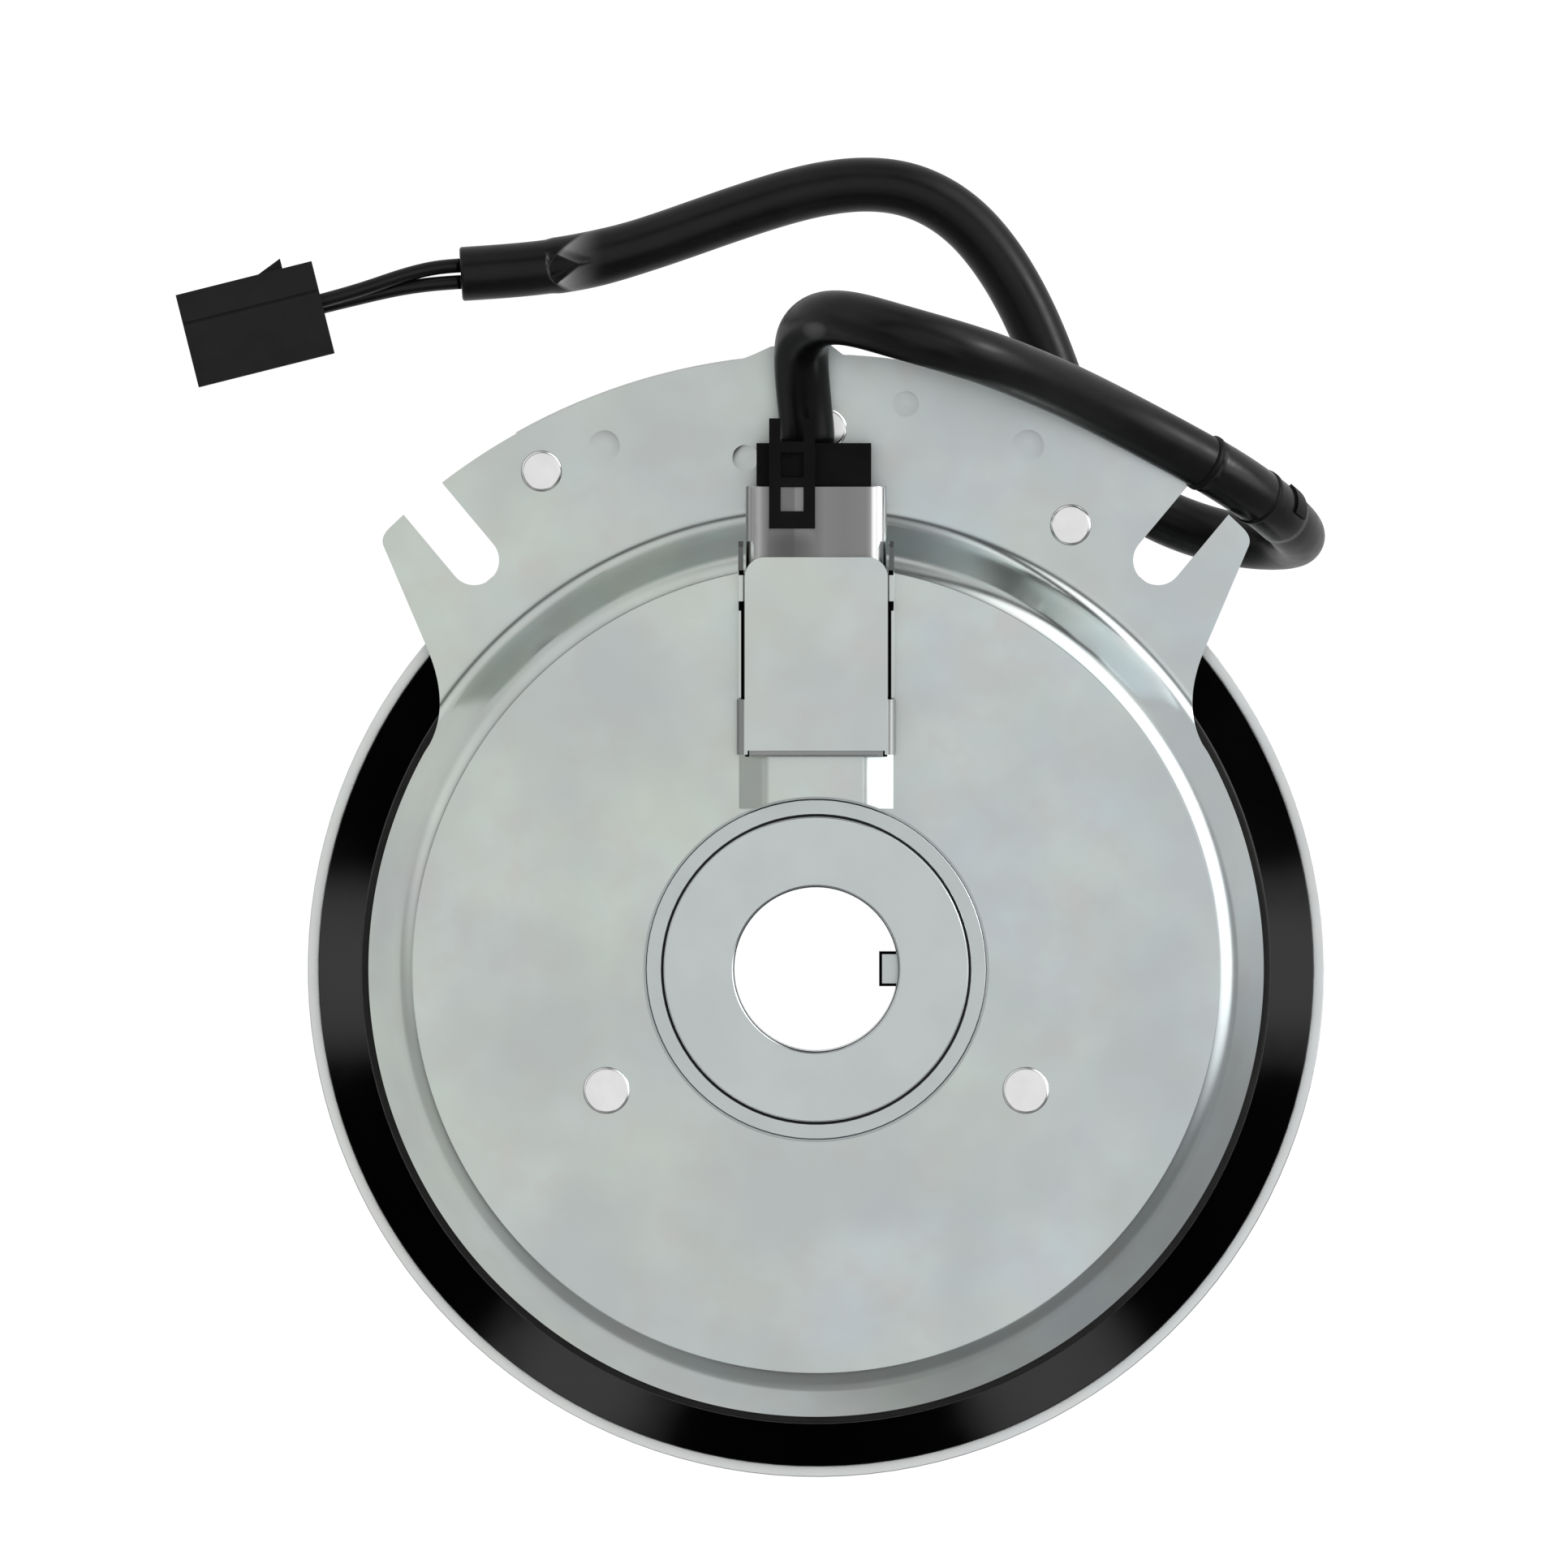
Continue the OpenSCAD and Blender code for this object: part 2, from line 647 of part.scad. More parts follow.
module terminal_cover()
    color(galvanised) {
        translate([0, 0, z_cover - cover_t]) linear_extrude(cover_t) union() {
            translate([-cover_w / 2, cover_y]) square([cover_w, cover_len - cover_corner]);
            translate([-cover_w / 2 + cover_corner, cover_y])
                square([cover_w - 2 * cover_corner, cover_len]);
            for (side = [-1, 1])
                translate([side * (cover_w / 2 - cover_corner), cover_end - cover_corner])
                    circle(cover_corner, $fn = small_fn);
        }
        translate([-cover_w / 2 + lip_inset, cover_y, 0])
            rotate([90, 0, 90]) linear_extrude(cover_w - 2 * lip_inset) polygon(concat(
                [[lip_y[2], z_shell + rib_h + lip_lift], [lip_y[0], z_shell + rib_h + lip_lift]],
                arc([lip_y[1], z_cover - cover_bend], cover_bend, 180, 90, bend_n),
                [[lip_y[2], z_cover]]
            ));
        for (side = [0, 1]) mirror([side, 0, 0])
            translate([0, tab_y[1], 0]) rotate([90, 0, 0]) linear_extrude(tab_y[1] - tab_y[0])
                polygon(concat(
                    [[cover_w / 2 - clip_root, z_cover]],
                    arc([cover_w / 2 - clip_bend_in, z_cover - cover_bend], cover_bend, 80, 0, bend_n),
                    [[cover_w / 2 + tab_out, z_shell + clip_drop], [cover_w / 2, z_shell + clip_drop],
                     [cover_w / 2, z_cover - cover_t], [cover_w / 2 - clip_root, z_cover - cover_t]]
                ));
    }

// Hood over the connector, rounded along its top edges
shroud_floor_h = 4;
shroud_floor = z_bracket + shroud_floor_h;
shroud_floor_y = flat_r + 8.3;
shroud_foot = 6;
shroud_knee_y = flat_r + 12.3;

module shroud_section(grow)
    polygon(concat(
        [[-shroud_r + grow, z_bracket], [-shroud_r + grow, z_shroud - shroud_bend]],
        arc([-shroud_r + shroud_bend, z_shroud - shroud_bend], shroud_bend - grow, 180, 90, bend_n),
        arc([shroud_r - shroud_bend, z_shroud - shroud_bend], shroud_bend - grow, 90, 0, bend_n),
        [[shroud_r - grow, z_shroud - shroud_bend], [shroud_r - grow, z_bracket]]
    ));

module shroud_side(low)
    rotate([90, 0, 90]) translate([0, 0, -shroud_r - cut]) linear_extrude(2 * shroud_r + 2 * cut)
        polygon([
            [shroud_y[0], z_shell + floor_t], [floor_end + shroud_foot, z_shell + floor_t],
            [shroud_knee_y, low], [shroud_y[1], low], [shroud_y[1], z_shroud + cut],
            [shroud_y[0], z_shroud + cut]
        ]);

module terminal_shroud()
    color(galvanised) {
        intersection() {
            translate([0, shroud_y[1], 0]) rotate([90, 0, 0]) linear_extrude(shroud_y[1] - shroud_y[0])
                difference() {
                    shroud_section(0);
                    translate([0, -eps]) shroud_section(shroud_t);
                }
            shroud_side(z_bracket + seat);
        }
        translate([-shroud_r + shroud_t / 2, shroud_floor_y, shroud_floor])
            cube([2 * shroud_r - shroud_t, shroud_y[1] - shroud_floor_y, shroud_t]);
    }

// Connector pushed into the hood, with its latch frame on top
latch_left = latch_x - latch_w / 2;
connector_h = connector_z[1] - connector_z[0];

module field_connector()
    color(black_plastic) difference() {
        union() {
            translate([connector_x - connector_w / 2 + fit, connector_y[0], connector_z[0]])
                cube([connector_w - 2 * fit, connector_y[1] - connector_y[0] + cut, connector_h]);
            translate([connector_x - connector_w / 2, connector_y[1], connector_z[0] - collar_low])
                cube([
                    connector_w, connector_y[2] - connector_y[1], connector_h + collar_low + collar_rise
                ]);
            translate([latch_left, latch_y[0], latch_z[0]])
                cube([latch_w, latch_y[3] - latch_y[0], latch_t]);
            translate([latch_left, connector_y[1] + foot_inset, connector_z[1]])
                cube([
                    latch_w, connector_y[2] - connector_y[1] - 2 * foot_inset,
                    latch_z[1] - connector_z[1] - foot_drop
                ]);
            for (x = [latch_left, latch_left + latch_w - latch_bar])
                translate([x, latch_y[3] - cut, latch_z[0]])
                    cube([latch_bar, latch_y[4] - latch_y[3] + cut, latch_t]);
        }
        translate([latch_left + latch_bar, latch_y[1], latch_z[0] - cut])
            cube([latch_w - 2 * latch_bar, latch_y[2] - latch_y[1], latch_t + 2 * cut]);
        translate([latch_left + latch_bar, recess_y[0], latch_z[1] - recess_depth])
            cube([latch_w - 2 * latch_bar, recess_y[1] - recess_y[0], recess_depth + cut]);
        for (x = pin_at) translate([x - pin_w / 2 - seat, connector_y[0] - cut, z_pin - pin_t - seat])
            cube([pin_w + 2 * seat, connector_y[1] - connector_y[0] + cut, pin_t + 2 * seat]);
    }

// Brake plate under the bracket, which the armature lies back on
brake_reach = 6.5;
brake_in_r = armature_r - brake_reach;
lining_inset = [0.5, 0.2];
lining_end_a = [2, 3];
lobe_r = 6.5;
post_neck = 1.5;
post_head_h = 1;

module brake_plate()
    color(galvanised) translate([0, 0, z_brake]) linear_extrude(brake_t) difference() {
        union() {
            sector(brake_r, brake_in_r, 90 - brake_half_a, 90 + brake_half_a);
            for (i = [0, 2]) translate(brake_post_at[i]) circle(lobe_r, $fn = small_fn);
        }
        for (p = brake_post_at) translate(p) circle(post_neck, $fn = small_fn);
    }

module brake_lining()
    color(friction) translate([0, 0, z_lining]) linear_extrude(lining_t)
        sector(
            armature_r - lining_inset[0], brake_in_r + lining_inset[1],
            90 - brake_half_a + lining_end_a[0], 90 + brake_half_a - lining_end_a[1]
        );

module brake_posts()
    color(bright_steel) for (p = brake_post_at) translate([p[0], p[1], 0]) {
        translate([0, 0, z_brake]) cylinder(brake_t + eps, r = post_neck, $fn = small_fn);
        translate([0, 0, z_lining])
            cylinder(z_bracket - shell_t - z_lining, d = post_d, $fn = small_fn);
        translate([0, 0, z_bracket - shell_t - eps])
            cylinder(shell_t + 2 * eps, r = post_neck, $fn = small_fn);
        translate([0, 0, z_bracket]) rivet_head(post_head_d, post_head_h);
    }

// Deep groove ball bearing, made of the pieces that move apart
land_share = 0.175;
cage_share = [0.12, 0.62];
seal_play = 0.2;
function pitch(d) = (bearing_bore_d + d) / 4;
function land(d) = land_share * (d - bearing_bore_d) / 2;

module track(d, ball, z)
    translate([pitch(d), z]) circle(ball / 2 + ball_clear, $fn = small_fn);

module race(r_out, r_in, d, w, ball, z)
    rotate_extrude($fn = round_fn) difference() {
        translate([r_in, z]) square([r_out - r_in, w]);
        track(d, ball, z + w / 2);
    }

module outer_race(d, w, ball, z)
    color(bright_steel) race(d / 2, pitch(d) + land(d), d, w, ball, z);

module inner_race(d, w, ball, z)
    color(bright_steel) race(pitch(d) - land(d), sleeve_r, d, w, ball, z);

module balls(d, w, ball, z, n)
    color(bright_steel) around(n, pitch(d)) translate([0, 0, z + w / 2])
        sphere(d = ball, $fn = small_fn);

module cage(d, w, ball, z, n)
    color(brass) difference() {
        ring(
            pitch(d) + cage_share[0] * ball, pitch(d) - cage_share[0] * ball,
            z + w / 2 - cage_share[1] * ball, 2 * cage_share[1] * ball
        );
        around(n, pitch(d)) translate([0, 0, z + w / 2])
            sphere(d = ball + 2 * ball_clear, $fn = small_fn);
    }

seal_t = 0.7;

module seals(d, w, z)
    color(dark_steel) for (low = [z + seat, z + w - seat - seal_t])
        ring(pitch(d) + land(d), pitch(d) - land(d) + seal_play, low, seal_t);

module field_bearing_outer()
    outer_race(field_bearing_d, field_bearing_w, field_ball_d, z_field_low);
module field_bearing_inner()
    inner_race(field_bearing_d, field_bearing_w, field_ball_d, z_field_low);
module field_bearing_balls()
    balls(field_bearing_d, field_bearing_w, field_ball_d, z_field_low, field_ball_n);
module field_bearing_cage()
    cage(field_bearing_d, field_bearing_w, field_ball_d, z_field_low, field_ball_n);
module field_bearing_seals()
    seals(field_bearing_d, field_bearing_w, z_field_low);

module pulley_bearing_outer()
    outer_race(pulley_bearing_d, pulley_bearing_w, pulley_ball_d, z_pulley_low);
module pulley_bearing_inner()
    inner_race(pulley_bearing_d, pulley_bearing_w, pulley_ball_d, z_pulley_low);
module pulley_bearing_balls()
    balls(pulley_bearing_d, pulley_bearing_w, pulley_ball_d, z_pulley_low, pulley_ball_n);
module pulley_bearing_cage()
    cage(pulley_bearing_d, pulley_bearing_w, pulley_ball_d, z_pulley_low, pulley_ball_n);
module pulley_bearing_seals()
    seals(pulley_bearing_d, pulley_bearing_w, z_pulley_low);

// Hub sleeve with its key, flange and circlip groove
clip_t = 1.4;
clip_play = 0.05;
hub_groove_depth = 1.3;
hub_groove_r = sleeve_r - hub_groove_depth;
z_clip = z_pulley_low - clip_t - 2 * clip_play;
core_r = 1;
key_root = 0.4;
flange_relief = 0.5;
race_land_r = pitch(field_bearing_d) - land(field_bearing_d);
mouth_chamfer = 0.4;

module hub_sleeve()
    color(bright_steel) {
        difference() {
            turned([
                [core_r, 0], [sleeve_r, 0], [sleeve_r, z_clip], [hub_groove_r, z_clip],
                [hub_groove_r, z_pulley_low],
                [sleeve_r, z_pulley_low], [sleeve_r, z_field_top], [race_land_r, z_field_top],
                [race_land_r, z_field_top + flange_relief], [hub_flange_d / 2, z_field_top + flange_relief],
                [hub_flange_d / 2, z_hub - mouth_chamfer], [hub_flange_d / 2 - mouth_chamfer, z_hub],
                [core_r, z_hub]
            ]);
            translate([0, 0, -cut]) cylinder(z_hub + 2 * cut, r = bore_r, $fn = round_fn);
            translate([0, 0, key_len])
                cylinder(z_hub - bore_plain_len - key_len, r = relief_r, $fn = round_fn);
            translate([0, 0, z_hub - mouth_chamfer])
                cylinder(
                    mouth_chamfer + eps, r1 = bore_r, r2 = bore_r + mouth_chamfer + eps, $fn = round_fn
                );
        }
        intersection() {
            translate([bore_r - key_h, -key_w / 2, 0]) cube([key_h + sleeve_r, key_w, key_len]);
            cylinder(key_len, r = bore_r + key_root, $fn = round_fn);
        }
    }

// Rotor: pole face with curved slots, rim outside and boss inside
boss_t = 6.5;
boss_flare = 2;
collar_t = 4;
friction_w = [5.5, 1.5];
friction_t = 3;
pole_slot_in = 5.5;
pole_slot_w = 3;
boss_r = sleeve_r + boss_t;
collar_r = sleeve_r + collar_t;
friction_r = [coil_out_r - friction_w[0], coil_out_r + friction_w[1]];
pole_slot_r = friction_r[0] - pole_slot_in;
pole_slot_gap = 14;

module rotor()
    color(dark_steel) difference() {
        turned([
            [sleeve_r, z_boss], [boss_r, z_boss], [boss_r + boss_flare, z_rotor], [rotor_r, z_rotor],
            [rotor_r, z_rotor_back + rotor_rim_h], [pole_r + pole_gap, z_rotor_back + rotor_rim_h],
            [pole_r + pole_gap, z_rotor_back], [collar_r, z_rotor_back], [collar_r, z_field_low],
            [sleeve_r, z_field_low]
        ]);
        ring(friction_r[1] + fit, friction_r[0] - fit, z_rotor - cut, friction_t + cut);
        translate([0, 0, z_rotor - cut]) linear_extrude(rotor_t + 2 * cut)
            for (i = [0:pole_slot_n - 1]) rotate(360 * i / pole_slot_n)
                curved_slot(pole_slot_r, pole_slot_w, 360 / pole_slot_n - pole_slot_gap);
    }

module rotor_friction_ring()
    color(friction) ring(friction_r[1], friction_r[0], z_rotor, friction_t);

spacer_t = 3.5;

module bearing_spacer()
    color(steel) ring(sleeve_r + spacer_t, sleeve_r, z_pulley_top, z_boss - z_pulley_top);

// Open ring of flat wire with an eyed lug at each end
clip_w = 3.2;
lug_a = 3;
lug_r = [1.8, 0.8];

module circlip(r_out, r_in, lug_ring_r, gap_a)
    translate([0, 0, z_clip + clip_play]) linear_extrude(clip_t) difference() {
        union() {
            difference() {
                circle(r_out, $fn = round_fn);
                circle(r_in, $fn = round_fn);
                polygon([[0, 0], polar(2 * r_out, -gap_a), polar(2 * r_out, gap_a)]);
            }
            for (side = [-1, 1]) translate(polar(lug_ring_r, side * (gap_a + lug_a)))
                circle(lug_r[0], $fn = small_fn);
        }
        for (side = [-1, 1]) translate(polar(lug_ring_r, side * (gap_a + lug_a)))
            circle(lug_r[1], $fn = small_fn);
    }

module hub_snap_ring()
    color(dark_steel)
        circlip(hub_groove_r + clip_w, hub_groove_r + fit, hub_groove_r + clip_w + eps, 10);

// Pulley: two pressed halves back to back on a riveted hub
groove_half = pulley_w / 2 - pulley_t;
groove_r = pulley_r - groove_depth;
cone_drop = (pulley_r - rim_land - groove_r) * tan(groove_a / 2);
web_step = 2;
pulley_bend = 0.9;
pulley_bend_n = 3;
half_path = soften([
    [hub_tube_r + fit, 0], [groove_r - web_step, 0], [groove_r, groove_half - cone_drop],
    [pulley_r - rim_land, groove_half], [pulley_r, groove_half]
], pulley_bend, pulley_bend_n);

module pulley_half()
    difference() {
        turned(sheet(half_path, pulley_t));
        around(pulley_rivet_n, pulley_rivet_r) translate([0, 0, -cut])
            cylinder(pulley_t + 2 * cut, r = web_rivet_r, $fn = small_fn);
        around(spring_n, spring_ring_r, spring_start_a) translate([0, 0, -cut])
            cylinder(pulley_t + 2 * cut, r = post_foot_r, $fn = small_fn);
    }

module pulley_upper_half() color(zinc) translate([0, 0, z_mid]) pulley_half();
module pulley_lower_half() color(zinc) translate([0, 0, z_mid]) mirror([0, 0, 1]) pulley_half();

hub_plate_t = 4;
web_rivet_r = 2.5;
web_rivet_head_d = 8.8;
web_rivet_head_h = 1.7;
hub_lip_t = 2;
hub_lip = 2;
clip_groove_depth = 1.6;
hub_skirt = 3;
clip_groove_r = pulley_bearing_d / 2 + clip_groove_depth;
z_hub_low = z_pulley_low - hub_skirt;

module pulley_hub()
    color(steel) difference() {
        turned([
            [pulley_bearing_d / 2, z_hub_low], [hub_tube_r, z_hub_low], [hub_tube_r, z_mid + pulley_t],
            [hub_flange_r, z_mid + pulley_t], [hub_flange_r, z_mid + pulley_t + hub_plate_t],
            [hub_tube_r, z_mid + pulley_t + hub_plate_t], [hub_tube_r, z_pulley_top + hub_lip_t],
            [pulley_bearing_d / 2 - hub_lip, z_pulley_top + hub_lip_t],
            [pulley_bearing_d / 2 - hub_lip, z_pulley_top], [pulley_bearing_d / 2, z_pulley_top],
            [pulley_bearing_d / 2, z_pulley_low], [clip_groove_r, z_pulley_low],
            [clip_groove_r, z_clip], [pulley_bearing_d / 2, z_clip]
        ]);
        around(pulley_rivet_n, pulley_rivet_r) translate([0, 0, z_mid])
            cylinder(pulley_t + hub_plate_t + cut, r = web_rivet_r, $fn = small_fn);
    }

module pulley_rivets()
    color(bright_steel) around(pulley_rivet_n, pulley_rivet_r) {
        translate([0, 0, z_mid - pulley_t - eps])
            cylinder(2 * pulley_t + hub_plate_t + 2 * eps, r = web_rivet_r, $fn = small_fn);
        translate([0, 0, z_mid + pulley_t + hub_plate_t])
            rivet_head(web_rivet_head_d, web_rivet_head_h);
        translate([0, 0, z_mid - pulley_t]) mirror([0, 0, 1])
            rivet_head(web_rivet_head_d, web_rivet_head_h);
    }

module pulley_snap_ring()
    color(dark_steel)
        circlip(clip_groove_r - fit, clip_groove_r - clip_w, clip_groove_r - clip_w - eps, 8);

// Leaf springs that hold the armature back, between posts on the pulley and the armature's rivets
spring_n = 3;
spring_start_a = 30;
post_foot_r = 2;
post_foot_head = [7, 1.2];
spring_post_r = 3;
stub_r = 1.5;
stub_head = [5.6, 1];
spring_hole_r = 1.7;
z_spring = z_armature - rest_gap - spring_t;
armature_rivet_r = 1.6;
armature_rivet_head = [6.4, 1.2];
window_r = 6;
armature_slot_out = 4;

module spring_posts()
    color(bright_steel) around(spring_n, spring_ring_r, spring_start_a) {
        translate([0, 0, z_mid - pulley_t])
            cylinder(2 * pulley_t + eps, r = post_foot_r, $fn = small_fn);
        translate([0, 0, z_mid - pulley_t]) mirror([0, 0, 1])
            rivet_head(post_foot_head[0], post_foot_head[1]);
        translate([0, 0, z_mid + pulley_t])
            cylinder(z_spring - z_mid - pulley_t, r = spring_post_r, $fn = small_fn);
        translate([0, 0, z_spring - eps]) cylinder(spring_t + 2 * eps, r = stub_r, $fn = small_fn);
        translate([0, 0, z_spring + spring_t]) rivet_head(stub_head[0], stub_head[1]);
    }

module leaf() {
    a = polar(spring_ring_r, 0);
    b = polar(spring_ring_r, spring_sweep);
    difference() {
        union() {
            for (p = [a, b]) translate(p) circle(spring_w / 2, $fn = small_fn);
            translate(a) rotate(90 + spring_sweep / 2) translate([0, -spring_w / 2])
                square([norm(b - a), spring_w]);
        }
        for (p = [a, b]) translate(p) circle(spring_hole_r, $fn = small_fn);
    }
}

module armature_springs()
    color(bright_steel) translate([0, 0, z_spring]) linear_extrude(spring_t)
        for (i = [0:spring_n - 1]) rotate(spring_start_a + 360 * i / spring_n) leaf();

module armature()
    color(black_steel) difference() {
        turned([
            [armature_in_r, z_armature], [armature_r, z_armature],
            [armature_r, z_armature + armature_edge_t],
            [rotor_r, z_armature + armature_t], [armature_in_r, z_armature + armature_t]
        ]);
        around(spring_n, spring_ring_r, spring_start_a) translate([0, 0, z_armature - cut])
            cylinder(armature_t + 2 * cut, r = window_r, $fn = small_fn);
        around(spring_n, spring_ring_r, spring_start_a + spring_sweep)
            translate([0, 0, z_armature - cut])
                cylinder(armature_t + 2 * cut, r = armature_rivet_r, $fn = small_fn);
        translate([0, 0, z_armature - cut]) linear_extrude(armature_t + 2 * cut)
            for (i = [0:pole_slot_n - 1]) rotate(360 * (i + 0.5) / pole_slot_n)
                curved_slot(
                    coil_out_r + armature_slot_out, pole_slot_w, 360 / pole_slot_n - pole_slot_gap
                );
    }

module armature_rivets()
    color(bright_steel) around(spring_n, spring_ring_r, spring_start_a + spring_sweep) {
        translate([0, 0, z_spring])
            cylinder(armature_t + spring_t + rest_gap - fit, r = armature_rivet_r, $fn = small_fn);
        translate([0, 0, z_spring]) mirror([0, 0, 1])
            rivet_head(armature_rivet_head[0], armature_rivet_head[1]);
    }

// Lead: a sleeve, the two wires that come out of it, and the plug they end in
module lead_sleeve() color(black_plastic) swept(sleeve_route, sleeve_d, 12);
module lead_wire_a() color(black_plastic) swept(wire_a_route, wire_d, 8);
module lead_wire_b() color(black_plastic) swept(wire_b_route, wire_d, 8);

module at_plug() translate([plug_at[0], plug_at[1], 0]) rotate(plug_turn) children();

groove_y = 3;
groove_cut = 0.5;

module plug_housing()
    color(black_plastic) difference() {
        at_plug() difference() {
            union() {
                translate([-plug_len / 2, -plug_w / 2, 0]) cube([plug_len, plug_w, plug_h]);
                translate([0, plug_w / 2, plug_latch_margin])
                    linear_extrude(plug_h - 2 * plug_latch_margin) polygon([
                        [plug_latch[0], -cut], [plug_latch[0], 0], [plug_latch[1], plug_latch[2]],
                        [plug_latch[1], -cut]
                    ]);
            }
            translate([-plug_len / 2 - cut, groove_y - groove_cut / 2, plug_h - groove_cut])
                cube([plug_len + 2 * cut, groove_cut, groove_cut + cut]);
            for (side = [-1, 1]) translate([
                -plug_len / 2 - cut, side * plug_way - plug_cavity[0] / 2,
                plug_h / 2 - plug_cavity[1] / 2
            ])
                cube([plug_cavity[2] + cut, plug_cavity[0], plug_cavity[1]]);
        }
        swept(wire_a_route, wire_d + 2 * wire_hole, 8);
        swept(wire_b_route, wire_d + 2 * wire_hole, 8);
    }

module plug_terminals()
    color(brass) at_plug() for (side = [-1, 1])
        translate([
            -plug_len / 2 + plug_blade_in, side * plug_way - plug_blade[0] / 2,
            plug_h / 2 - plug_blade[1] / 2
        ])
            cube([plug_cavity[2] - plug_blade_in, plug_blade[0], plug_blade[1]]);

field_shell();
coil_shell();
coil_bobbin();
coil_winding();
coil_potting();
shell_rivets();
terminal_base();
terminal_block();
terminal_cover();
terminal_shroud();
terminal_pins();
field_connector();
brake_plate();
brake_lining();
brake_posts();
field_bearing_outer();
field_bearing_inner();
field_bearing_balls();
field_bearing_cage();
field_bearing_seals();
hub_sleeve();
rotor();
rotor_friction_ring();
bearing_spacer();
hub_snap_ring();
pulley_upper_half();
pulley_lower_half();
pulley_hub();
pulley_rivets();
pulley_bearing_outer();
pulley_bearing_inner();
pulley_bearing_balls();
pulley_bearing_cage();
pulley_bearing_seals();
pulley_snap_ring();
spring_posts();
armature_springs();
armature();
armature_rivets();
lead_sleeve();
lead_wire_a();
lead_wire_b();
plug_housing();
plug_terminals();
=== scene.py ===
# %% [markdown]
# ## The frame
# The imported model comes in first. Every solid of the clutch is already there at its real size,
# so this script only dresses it. Lengths in the frame are metres. A maker thinks in millimetres,
# so one small constant turns the written sizes into metres, and the rest of the file uses it.
# The box of the plain model is kept now, to compare with the dressed one at the end.

# %% Load the frame
import json
from bisect import bisect_right
from math import acos, atan2, ceil, cos, hypot, pi, radians, sin

import bmesh
import bpy
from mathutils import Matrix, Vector


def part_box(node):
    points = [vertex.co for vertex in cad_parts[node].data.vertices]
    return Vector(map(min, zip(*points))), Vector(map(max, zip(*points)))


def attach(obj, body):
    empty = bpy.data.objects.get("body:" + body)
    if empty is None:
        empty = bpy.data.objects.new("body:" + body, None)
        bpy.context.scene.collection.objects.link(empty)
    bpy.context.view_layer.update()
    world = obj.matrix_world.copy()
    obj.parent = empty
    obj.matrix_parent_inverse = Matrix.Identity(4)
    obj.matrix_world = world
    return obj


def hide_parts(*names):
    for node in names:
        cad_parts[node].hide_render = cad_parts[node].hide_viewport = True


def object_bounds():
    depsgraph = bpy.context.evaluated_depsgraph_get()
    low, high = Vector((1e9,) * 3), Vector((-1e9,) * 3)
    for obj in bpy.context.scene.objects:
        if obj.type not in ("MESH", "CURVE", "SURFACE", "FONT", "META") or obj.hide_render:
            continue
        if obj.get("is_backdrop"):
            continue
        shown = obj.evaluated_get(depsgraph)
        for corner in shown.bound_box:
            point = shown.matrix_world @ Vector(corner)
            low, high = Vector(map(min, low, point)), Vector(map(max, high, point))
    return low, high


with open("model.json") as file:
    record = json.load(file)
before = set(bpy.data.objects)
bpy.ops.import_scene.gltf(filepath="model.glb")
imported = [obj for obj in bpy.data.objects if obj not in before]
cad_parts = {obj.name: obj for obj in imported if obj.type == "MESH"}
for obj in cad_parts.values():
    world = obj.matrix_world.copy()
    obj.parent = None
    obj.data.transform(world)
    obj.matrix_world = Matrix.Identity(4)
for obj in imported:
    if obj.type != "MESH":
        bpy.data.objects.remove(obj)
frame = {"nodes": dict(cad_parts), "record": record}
cad_low, cad_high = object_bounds()
nodes = frame["nodes"]
scene = bpy.context.scene
MM = 0.001


def mm(*values):
    """A point or a vector, written in millimetres."""
    return Vector(values) * MM


box = [round((b - a) / MM, 1) for a, b in zip(cad_low, cad_high)]
print("nodes", len(nodes), "box in mm", box)

# %% [markdown]
# ## The camera
# The clutch is seen straight along its axis from the engine side, with the bracket upwards, and
# with no perspective that the eye could find. A very long lens from twelve metres away gives
# that view. The lens follows from the width that has to fit on the sensor.

# %% Place the camera
VIEW_WIDTH = 274.7 * MM
VIEW_CENTRE = mm(-5.6, 32.3, 0)
CAMERA_HEIGHT = 12.0
SENSOR_WIDTH = 36.0

camera_data = bpy.data.cameras.new("camera")
camera_data.sensor_width = SENSOR_WIDTH
camera_data.sensor_fit = "HORIZONTAL"
camera_data.lens = SENSOR_WIDTH * CAMERA_HEIGHT / VIEW_WIDTH
camera_data.clip_start = 0.1
camera_data.clip_end = 60
camera = bpy.data.objects.new("camera", camera_data)
camera.location = VIEW_CENTRE + Vector((0, 0, CAMERA_HEIGHT))
scene.collection.objects.link(camera)
scene.camera = camera
scene.view_settings.view_transform = "Standard"
print("lens in mm", round(camera_data.lens))

# %% [markdown]
# ## Nodes written as sums
# Materials, the studio and the geometry trees are all node trees. Written node by node they are
# long and hard to read, so two small classes help. A `Wire` is the output of a node, and plain
# operators on it add Math nodes. A `Tree` has one method, `add`, that adds any other node: its
# type, its settings, which are set first, and then the values or wires of its sockets.

